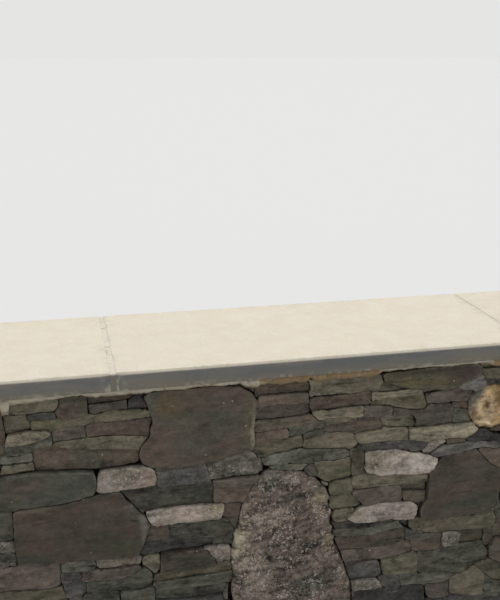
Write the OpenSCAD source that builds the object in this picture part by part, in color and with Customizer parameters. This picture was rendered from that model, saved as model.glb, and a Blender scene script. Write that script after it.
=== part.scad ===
// Dry stone retaining wall with a bluestone coping, five bays long.
// The front faces -Y, the planting bed is on +Y, and the ground is at z = 0.

/* [Wall] */
// Overall height, from the ground to the top of the coping
wall_height = 850; // [700:10:1050]
// Length of one bay, from one coping joint to the next
bay_length = 1100; // [900:10:1400]
// Thickness of the stonework, from its front face to its back face
stonework_thickness = 420; // [380:5:520]

/* [Coping] */
// Thickness of a coping slab
coping_thickness = 51; // [38:1:76]
// How far the coping hangs over the stonework, front and back
coping_overhang = 20; // [12:1:40]
// Width of the eased edge along the top of a slab
coping_arris = 3; // [1:0.5:6]

/* [Mortar] */
// Width of the mortar joint between two slabs
slab_joint = 12; // [6:1:20]
// How far that mortar lies below the faces of the slabs
joint_recess = 2; // [1:0.5:5]
// Thickness of the mortar bed under the slabs
bed_thickness = 12; // [8:1:20]
// How far the mortar bed stays behind the faces of the stonework
bed_setback = 10; // [4:1:20]

/* [Large stones] */
// How deep a large stone reaches into the wall
stone_depth = 150; // [100:5:180]
// How far the face of a large stone stands out from the stonework
stone_proud = 8; // [3:1:12]
// Width of the worn edge around the face of a large stone
stone_arris = 9; // [4:1:16]

/* [Wall ends] */
// Length of a long corner block
quoin_long = 250; // [200:10:300]
// Length of a short corner block
quoin_short = 165; // [120:5:190]
// Number of corner blocks, one above the other, at each end
quoin_courses = 6; // [4:1:8]

/* [Hidden] */
bays = 5;
length = bays * bay_length;
left = -length / 2;
half = stonework_thickness / 2;
under_coping = wall_height - coping_thickness;
stonework_height = under_coping - bed_thickness;
coping_half = half + coping_overhang;
front_layers = 2;
cut = 20;

// The stones are drawn on a bay 1100 mm long. Its base line lies at the lowest stones in view,
// so it has this much of the wall's foot below it. The drawing follows the real bay.
foot = 50;
drawn = [1100, foot + 737];
fit_x = bay_length / drawn[0];
fit_z = stonework_height / drawn[1];

umber = [0.34, 0.29, 0.25];
olive = [0.36, 0.35, 0.28];
green = [0.28, 0.31, 0.28];
granite = [0.53, 0.48, 0.43];
pale = [0.68, 0.61, 0.54];
sandstone = [0.72, 0.58, 0.42];
bluestone = [0.60, 0.59, 0.57];
mortar = [0.72, 0.70, 0.66];
bedding = [0.62, 0.56, 0.47];
rubble = [0.30, 0.29, 0.26];

// Outlines of the large stones in the middle of the front, x from the middle of bay 3 and z up
boulder_outline = [
  [-240, -50], [92, -50], [93, 60], [88, 100], [76, 140], [62, 180], [45, 225], [35, 245], [27, 270],
  [25, 300], [22, 325], [16, 355], [12, 385], [4, 404], [-12, 424], [-40, 450], [-66, 466],
  [-100, 475], [-140, 478], [-168, 474], [-188, 458], [-204, 438], [-214, 412], [-226, 390],
  [-234, 360], [-240, 328], [-250, 282], [-255, 225], [-251, 150],
];
square_outline = [
  [-480, 726], [-470, 700], [-461, 672], [-457, 654], [-463, 632], [-464, 612], [-482, 595],
  [-490, 580], [-494, 558], [-480, 541], [-452, 525], [-410, 519], [-358, 519], [-300, 527],
  [-240, 538], [-205, 548], [-194, 562], [-192, 580], [-195, 605], [-193, 630], [-188, 655],
  [-186, 687], [-208, 708], [-237, 726], [-300, 731], [-374, 731], [-440, 731],
];
broad_outline = [
  [-811, 440], [-814, 360], [-811, 292], [-750, 285], [-690, 286], [-640, 282], [-600, 277],
  [-560, 273], [-516, 271], [-499, 284], [-490, 305], [-484, 325], [-477, 345], [-473, 362],
  [-479, 376], [-489, 392], [-501, 406], [-516, 422], [-534, 438], [-545, 464], [-600, 461],
  [-650, 451], [-690, 446], [-760, 444],
];
diamond_outline = [
  [288, 283], [350, 277], [410, 283], [506, 281], [513, 300], [519, 340], [526, 380], [523, 411],
  [505, 423], [482, 438], [465, 456], [449, 473], [437, 486], [420, 481], [380, 475], [331, 470],
  [322, 451], [314, 435], [303, 420], [299, 398], [300, 360], [296, 335], [287, 310],
];
long_green_outline = [
  [-868, 452], [-800, 450], [-720, 453], [-650, 459], [-617, 467], [-608, 482], [-606, 506],
  [-612, 528], [-630, 535], [-690, 539], [-745, 544], [-800, 544], [-862, 540], [-872, 500],
];
lens_outline = [
  [153, 711], [181, 699], [202, 689], [243, 680], [294, 675], [325, 671], [356, 671], [402, 687],
  [434, 705], [439, 727], [412, 734], [284, 734], [163, 729], [153, 724],
];
cobble_outline = [
  [405, 610], [412, 580], [428, 556], [446, 542], [486, 542], [514, 553], [533, 580], [539, 615],
  [531, 645], [514, 663], [490, 669], [456, 668], [436, 660], [418, 650], [408, 634],
];
pale_upper_left_outline = [
  [-605, 480], [-592, 470], [-550, 471], [-500, 473], [-466, 477], [-451, 490], [-450, 508],
  [-466, 521], [-481, 529], [-530, 527], [-560, 531], [-586, 531], [-594, 518], [-598, 497],
];
pale_lower_left_outline = [
  [-484, 401], [-477, 376], [-468, 362], [-454, 356], [-400, 358], [-350, 354], [-300, 359],
  [-285, 366], [-276, 378], [-273, 402], [-340, 405], [-400, 406], [-450, 404],
];
pale_upper_right_outline = [
  [112, 449], [160, 432], [200, 431], [250, 425], [296, 422], [311, 432], [320, 446], [328, 462],
  [322, 471], [302, 478], [290, 484], [250, 486], [236, 498], [200, 507], [150, 511], [112, 509],
];
pale_lower_right_outline = [
  [66, 311], [88, 298], [120, 293], [200, 293], [262, 290], [270, 303], [271, 320], [266, 335],
  [250, 342], [200, 346], [150, 347], [112, 337], [84, 326],
];

// Shapes that the other bays use, each about its own middle
squarish = [
  [-118, -70], [-60, -86], [40, -88], [104, -80], [120, -40], [112, 30], [96, 78], [20, 88],
  [-70, 84], [-108, 60], [-122, 0],
];
broad = [
  [-168, -60], [-120, -78], [0, -74], [110, -80], [160, -62], [172, 0], [150, 58], [60, 76],
  [-60, 80], [-150, 70], [-170, 20],
];
tall = [
  [-104, -168], [0, -172], [100, -160], [122, -60], [96, 40], [70, 120], [30, 160], [-40, 170],
  [-92, 140], [-112, 40], [-120, -80],
];
lens = [
  [-146, -8], [-100, -26], [-20, -30], [70, -22], [140, -4], [146, 10], [90, 26], [0, 30],
  [-90, 24],
];
block = [
  [-80, -22], [-50, -32], [30, -30], [74, -22], [80, 10], [56, 30], [-20, 32], [-66, 26],
];
round = [
  [-56, -20], [-36, -52], [10, -60], [48, -40], [59, 0], [46, 42], [8, 60], [-36, 50], [-58, 14],
];
long = [
  [-150, -30], [-60, -38], [70, -36], [142, -30], [150, 10], [138, 36], [20, 40], [-100, 36],
  [-148, 24],
];
pointed = [
  [-112, -20], [-90, -84], [0, -98], [96, -92], [114, -40], [60, 40], [10, 92], [-50, 100],
  [-104, 70],
];

// A shape turned, stretched and put down in a bay: bay, x and z of its middle, stretch, turn
function put(shape, bay, x, z, wide = 1, high = 1, turn = 0) = [
  for (p = shape)
    let (u = p[0] * wide, v = p[1] * high)
    [
      (bay - 3) * drawn[0] + x + u * cos(turn) - v * sin(turn),
      z + u * sin(turn) + v * cos(turn),
    ]
];

front_1 = [
  put(squarish, 1, -140, 560, 1, 0.95, 2), put(broad, 1, 200, 330, 1, 1.05, -2),
  put(round, 1, 390, 620, 1, 1, 10), put(block, 1, -150, 330, 1.1, 1, 1),
  put(long, 1, 330, 140, 1, 1, 2), put(pointed, 1, -70, 130, -1, 1, 0),
];
front_2 = [
  put(tall, 2, -350, 320, -1, 1, 3), put(squarish, 2, 20, 570, -1, 1, -2),
  put(long, 2, 30, 330, 1, 1.1, 1), put(block, 2, -360, 600, -1.15, 1, -3),
  put(broad, 2, 20, 120, 0.9, 0.9, 2),
];
front_4 = [
  put(squarish, 4, -370, 590, 1, 1, -1), put(broad, 4, -250, 250, 1, 1, 3),
  put(tall, 4, 190, 300, 1, 1.05, -4), put(lens, 4, 170, 680, 1, 1, 0),
  put(block, 4, 430, 510, 1, 1.1, 2), put(round, 4, 440, 170, 1, 1, 30),
  put(block, 4, -60, 470, 1, 1, -4),
];
front_5 = [
  put(pointed, 5, -380, 320, 1, 1, 4), put(squarish, 5, -130, 590, -1.05, 0.95, 3),
  put(broad, 5, 30, 280, -0.95, 1, -1), put(round, 5, 180, 560, 1, 1, 60),
  put(block, 5, -430, 560, 1, 1, 1), put(long, 5, -170, 110, 1, 1, -2),
];
back_1 = [
  put(broad, 1, -20, 480, 1, 1, 3), put(tall, 1, 330, 300, 1, 1, -3),
  put(block, 1, -110, 180, 1, 1.1, 2),
];
back_2 = [
  put(pointed, 2, -300, 500, 1, 1, 2), put(broad, 2, 190, 260, -1, 1, -2),
  put(round, 2, 250, 590, 1, 1, 0),
];
back_3 = [
  put(tall, 3, 260, 330, -1, 1, 2), put(squarish, 3, -260, 560, 1, 1, 3),
  put(long, 3, -240, 210, 1, 1.1, -2),
];
back_4 = [
  put(broad, 4, -280, 340, 1, 1, 2), put(squarish, 4, 200, 540, 1, 0.9, -3),
  put(block, 4, 190, 240, -1.1, 1, 1),
];
back_5 = [
  put(tall, 5, -330, 300, 1, 1, 4), put(squarish, 5, 60, 560, -1, 1, 1),
  put(broad, 5, 70, 230, 0.95, 0.9, -2),
];

function lows(outline, k) = min([for (p = outline) p[k]]);
function highs(outline, k) = max([for (p = outline) p[k]]);
function fitted(outline) = [for (p = outline) [p[0] * fit_x, (p[1] + foot) * fit_z]];
function quoin_length(course) = course % 2 == 0 ? quoin_long : quoin_short;

// Straight body of a stone, from its face towards the middle of the wall
module stone_body(outline, reach = 0) {
  translate([0, -half + stone_depth, 0])
    rotate([90, 0, 0])
      linear_extrude(height = stone_depth + reach)
        polygon(fitted(outline));
}

// Worn front of a stone, in two thin layers that get smaller towards its face
module stone_front(outline) {
  shape = fitted(outline);
  low_x = lows(shape, 0);
  low_z = lows(shape, 1);
  wide = highs(shape, 0) - low_x;
  high = highs(shape, 1) - low_z;
  middle = [low_x + wide / 2, low_z + high / 2];
  layer = stone_proud / front_layers;
  for (k = [1 : front_layers]) {
    inset = stone_arris * k / front_layers;
    ratio_x = 1 - 2 * inset / wide;
    ratio_z = 1 - 2 * inset / high;
    translate([middle[0], -half - (k - 1) * layer, middle[1]])
      rotate([90, 0, 0])
        linear_extrude(height = layer)
          polygon([for (p = shape) [(p[0] - middle[0]) * ratio_x, (p[1] - middle[1]) * ratio_z]]);
  }
}

module stone(outline) {
  stone_body(outline);
  stone_front(outline);
}

module stones(outlines) {
  for (outline = outlines) {
    stone(outline);
  }
}

module pockets(outlines) {
  for (outline = outlines) {
    stone_body(outline, cut);
  }
}

module coping_slab(bay) {
  start = left + (bay - 1) * bay_length + (bay == 1 ? 0 : slab_joint / 2);
  end = left + bay * bay_length - (bay == bays ? 0 : slab_joint / 2);
  translate([start, 0, 0])
    rotate([90, 0, 90])
      linear_extrude(height = end - start)
        polygon([
          [-coping_half, under_coping],
          [coping_half, under_coping],
          [coping_half, wall_height - coping_arris],
          [coping_half - coping_arris, wall_height],
          [-coping_half + coping_arris, wall_height],
          [-coping_half, wall_height - coping_arris],
        ]);
}

module coping_joint(bay) {
  color(mortar)
    translate([
      left + bay * bay_length - slab_joint / 2,
      -coping_half + joint_recess,
      under_coping
    ])
      cube([slab_joint, 2 * (coping_half - joint_recess), coping_thickness - joint_recess]);
}

module bedding_mortar() {
  color(bedding)
    translate([left, -half + bed_setback, stonework_height])
      cube([length, 2 * (half - bed_setback), bed_thickness]);
}

// Stepped edge of the corner blocks, a long and a short one in turn, from the ground up
function quoin_steps() = [
  for (course = [0 : quoin_courses - 1], step = [0, 1])
    [
      left + quoin_length(course),
      (course + step) * stonework_height / quoin_courses,
    ]
];

// Corner blocks at the left end
module quoins(extra = 0) {
  translate([0, half + extra, 0])
    rotate([90, 0, 0])
      linear_extrude(height = stonework_thickness + 2 * extra)
        polygon(concat(
          [[left - extra, stonework_height], [left - extra, 0]],
          quoin_steps()
        ));
}

module right_quoins(extra = 0) {
  mirror([1, 0, 0])
    quoins(extra);
}

// Front half of a bay, with the corner blocks and the pockets of the large stones cut out
module front_bay(bay, outlines) {
  color(rubble)
    difference() {
      translate([left + (bay - 1) * bay_length, -half, 0])
        cube([bay_length, half, stonework_height]);
      pockets(outlines);
      if (bay == 1) {
        quoins(cut);
      }
      if (bay == bays) {
        right_quoins(cut);
      }
    }
}

// Back half of a bay, as the front half seen from the bed
module back_bay(bay, outlines) {
  color(rubble)
    difference() {
      translate([left + (bay - 1) * bay_length, 0, 0])
        cube([bay_length, half, stonework_height]);
      mirror([0, 1, 0])
        pockets(outlines);
      if (bay == 1) {
        quoins(cut);
      }
      if (bay == bays) {
        right_quoins(cut);
      }
    }
}

module back_stones(outlines) {
  mirror([0, 1, 0])
    stones(outlines);
}

middle_stones = [
  boulder_outline, square_outline, broad_outline, diamond_outline, lens_outline, cobble_outline,
  pale_upper_left_outline, pale_lower_left_outline, pale_upper_right_outline,
  pale_lower_right_outline,
];

module coping_slab_1() { color(bluestone) coping_slab(1); }
module coping_slab_2() { color(bluestone) coping_slab(2); }
module coping_slab_3() { color(bluestone) coping_slab(3); }
module coping_slab_4() { color(bluestone) coping_slab(4); }
module coping_slab_5() { color(bluestone) coping_slab(5); }
module coping_joint_1() { coping_joint(1); }
module coping_joint_2() { coping_joint(2); }
module coping_joint_3() { coping_joint(3); }
module coping_joint_4() { coping_joint(4); }
module front_masonry_1() { front_bay(1, front_1); }
module front_masonry_2() {
  front_bay(2, concat(front_2, [broad_outline, long_green_outline, pale_upper_left_outline]));
}
module front_masonry_3() { front_bay(3, middle_stones); }
module front_masonry_4() { front_bay(4, front_4); }
module front_masonry_5() { front_bay(5, front_5); }
module back_masonry_1() { back_bay(1, back_1); }
module back_masonry_2() { back_bay(2, back_2); }
module back_masonry_3() { back_bay(3, back_3); }
module back_masonry_4() { back_bay(4, back_4); }
module back_masonry_5() { back_bay(5, back_5); }
module left_end_quoins() { color(olive) quoins(); }
module right_end_quoins() { color(olive) right_quoins(); }
module granite_boulder() { color(granite) stone(boulder_outline); }
module square_slab() { color(umber) stone(square_outline); }
module broad_slab() { color(umber) stone(broad_outline); }
module diamond_slab() { color(umber) stone(diamond_outline); }
module long_green_stone() { color(green) stone(long_green_outline); }
module lens_stone() { color(olive) stone(lens_outline); }
module sandstone_cobble() { color(sandstone) stone(cobble_outline); }
module pale_stone_upper_left() { color(pale) stone(pale_upper_left_outline); }
module pale_stone_lower_left() { color(pale) stone(pale_lower_left_outline); }
module pale_stone_upper_right() { color(pale) stone(pale_upper_right_outline); }
module pale_stone_lower_right() { color(pale) stone(pale_lower_right_outline); }
module front_large_stones_1() { color(umber) stones(front_1); }
module front_large_stones_2() { color(umber) stones(front_2); }
module front_large_stones_4() { color(umber) stones(front_4); }
module front_large_stones_5() { color(umber) stones(front_5); }
module back_large_stones_1() { color(umber) back_stones(back_1); }
module back_large_stones_2() { color(umber) back_stones(back_2); }
module back_large_stones_3() { color(umber) back_stones(back_3); }
module back_large_stones_4() { color(umber) back_stones(back_4); }
module back_large_stones_5() { color(umber) back_stones(back_5); }

coping_slab_1();
coping_slab_2();
coping_slab_3();
coping_slab_4();
coping_slab_5();
coping_joint_1();
coping_joint_2();
coping_joint_3();
coping_joint_4();
bedding_mortar();
front_masonry_1();
front_masonry_2();
front_masonry_3();
front_masonry_4();
front_masonry_5();
back_masonry_1();
back_masonry_2();
back_masonry_3();
back_masonry_4();
back_masonry_5();
left_end_quoins();
right_end_quoins();
granite_boulder();
square_slab();
broad_slab();
diamond_slab();
long_green_stone();
lens_stone();
sandstone_cobble();
pale_stone_upper_left();
pale_stone_lower_left();
pale_stone_upper_right();
pale_stone_lower_right();
front_large_stones_1();
front_large_stones_2();
front_large_stones_4();
front_large_stones_5();
back_large_stones_1();
back_large_stones_2();
back_large_stones_3();
back_large_stones_4();
back_large_stones_5();
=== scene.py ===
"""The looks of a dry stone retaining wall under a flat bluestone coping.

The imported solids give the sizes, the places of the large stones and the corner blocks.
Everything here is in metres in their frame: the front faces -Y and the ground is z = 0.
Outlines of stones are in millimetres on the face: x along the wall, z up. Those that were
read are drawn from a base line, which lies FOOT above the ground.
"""

import logging
import math
from dataclasses import dataclass, field, replace
from enum import Enum
from typing import Iterable

import bpy
import numpy as np
from mathutils import Matrix, Vector, geometry, kdtree, noise


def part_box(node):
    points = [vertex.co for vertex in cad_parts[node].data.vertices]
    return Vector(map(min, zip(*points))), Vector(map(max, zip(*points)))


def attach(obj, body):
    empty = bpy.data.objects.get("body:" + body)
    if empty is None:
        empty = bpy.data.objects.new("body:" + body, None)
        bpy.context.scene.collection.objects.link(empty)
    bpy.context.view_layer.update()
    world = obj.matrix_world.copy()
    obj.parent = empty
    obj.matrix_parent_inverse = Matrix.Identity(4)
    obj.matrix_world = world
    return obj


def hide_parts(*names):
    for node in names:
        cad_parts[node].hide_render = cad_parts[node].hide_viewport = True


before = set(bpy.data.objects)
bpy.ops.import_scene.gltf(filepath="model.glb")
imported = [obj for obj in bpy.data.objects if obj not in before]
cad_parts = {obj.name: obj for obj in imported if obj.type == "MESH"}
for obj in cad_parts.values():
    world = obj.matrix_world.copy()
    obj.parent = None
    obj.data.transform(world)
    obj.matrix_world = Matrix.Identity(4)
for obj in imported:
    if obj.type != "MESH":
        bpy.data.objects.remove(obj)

logging.basicConfig(level=logging.INFO, format="%(message)s")
LOG = logging.getLogger("wall")

MM = 0.001
FOOT = 50.0
LOWEST = 0.3
LEAST_BIT = 120.0
LEAST_STONE = 80.0
IN_VIEW = (-905.0, 575.0)
CREASE = math.radians(38)
Socket = bpy.types.NodeSocket


class Finish(Enum):
    """The kinds of stone in the wall, each with the name of its material."""

    UMBER = "umber_fieldstone"
    PURPLE = "purple_fieldstone"
    OLIVE = "olive_fieldstone"
    BUFF = "buff_fieldstone"
    GREEN = "green_slate"
    BLUE = "blue_slate"
    DARK = "dark_slate"
    CREAM = "cream_quartzite"
    PALE = "pale_granite"
    TAN = "tan_sandstone"
    BOULDER = "lichened_granite"


class Side(Enum):
    """A face of the wall: the sign turns its drawing into the wall's frame."""

    FRONT = 1
    BACK = -1


LETTERS = {
    "U": Finish.UMBER, "P": Finish.PURPLE, "O": Finish.OLIVE, "T": Finish.BUFF,
    "G": Finish.GREEN, "B": Finish.BLUE, "D": Finish.DARK, "C": Finish.CREAM,
    "W": Finish.PALE,
}
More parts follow.
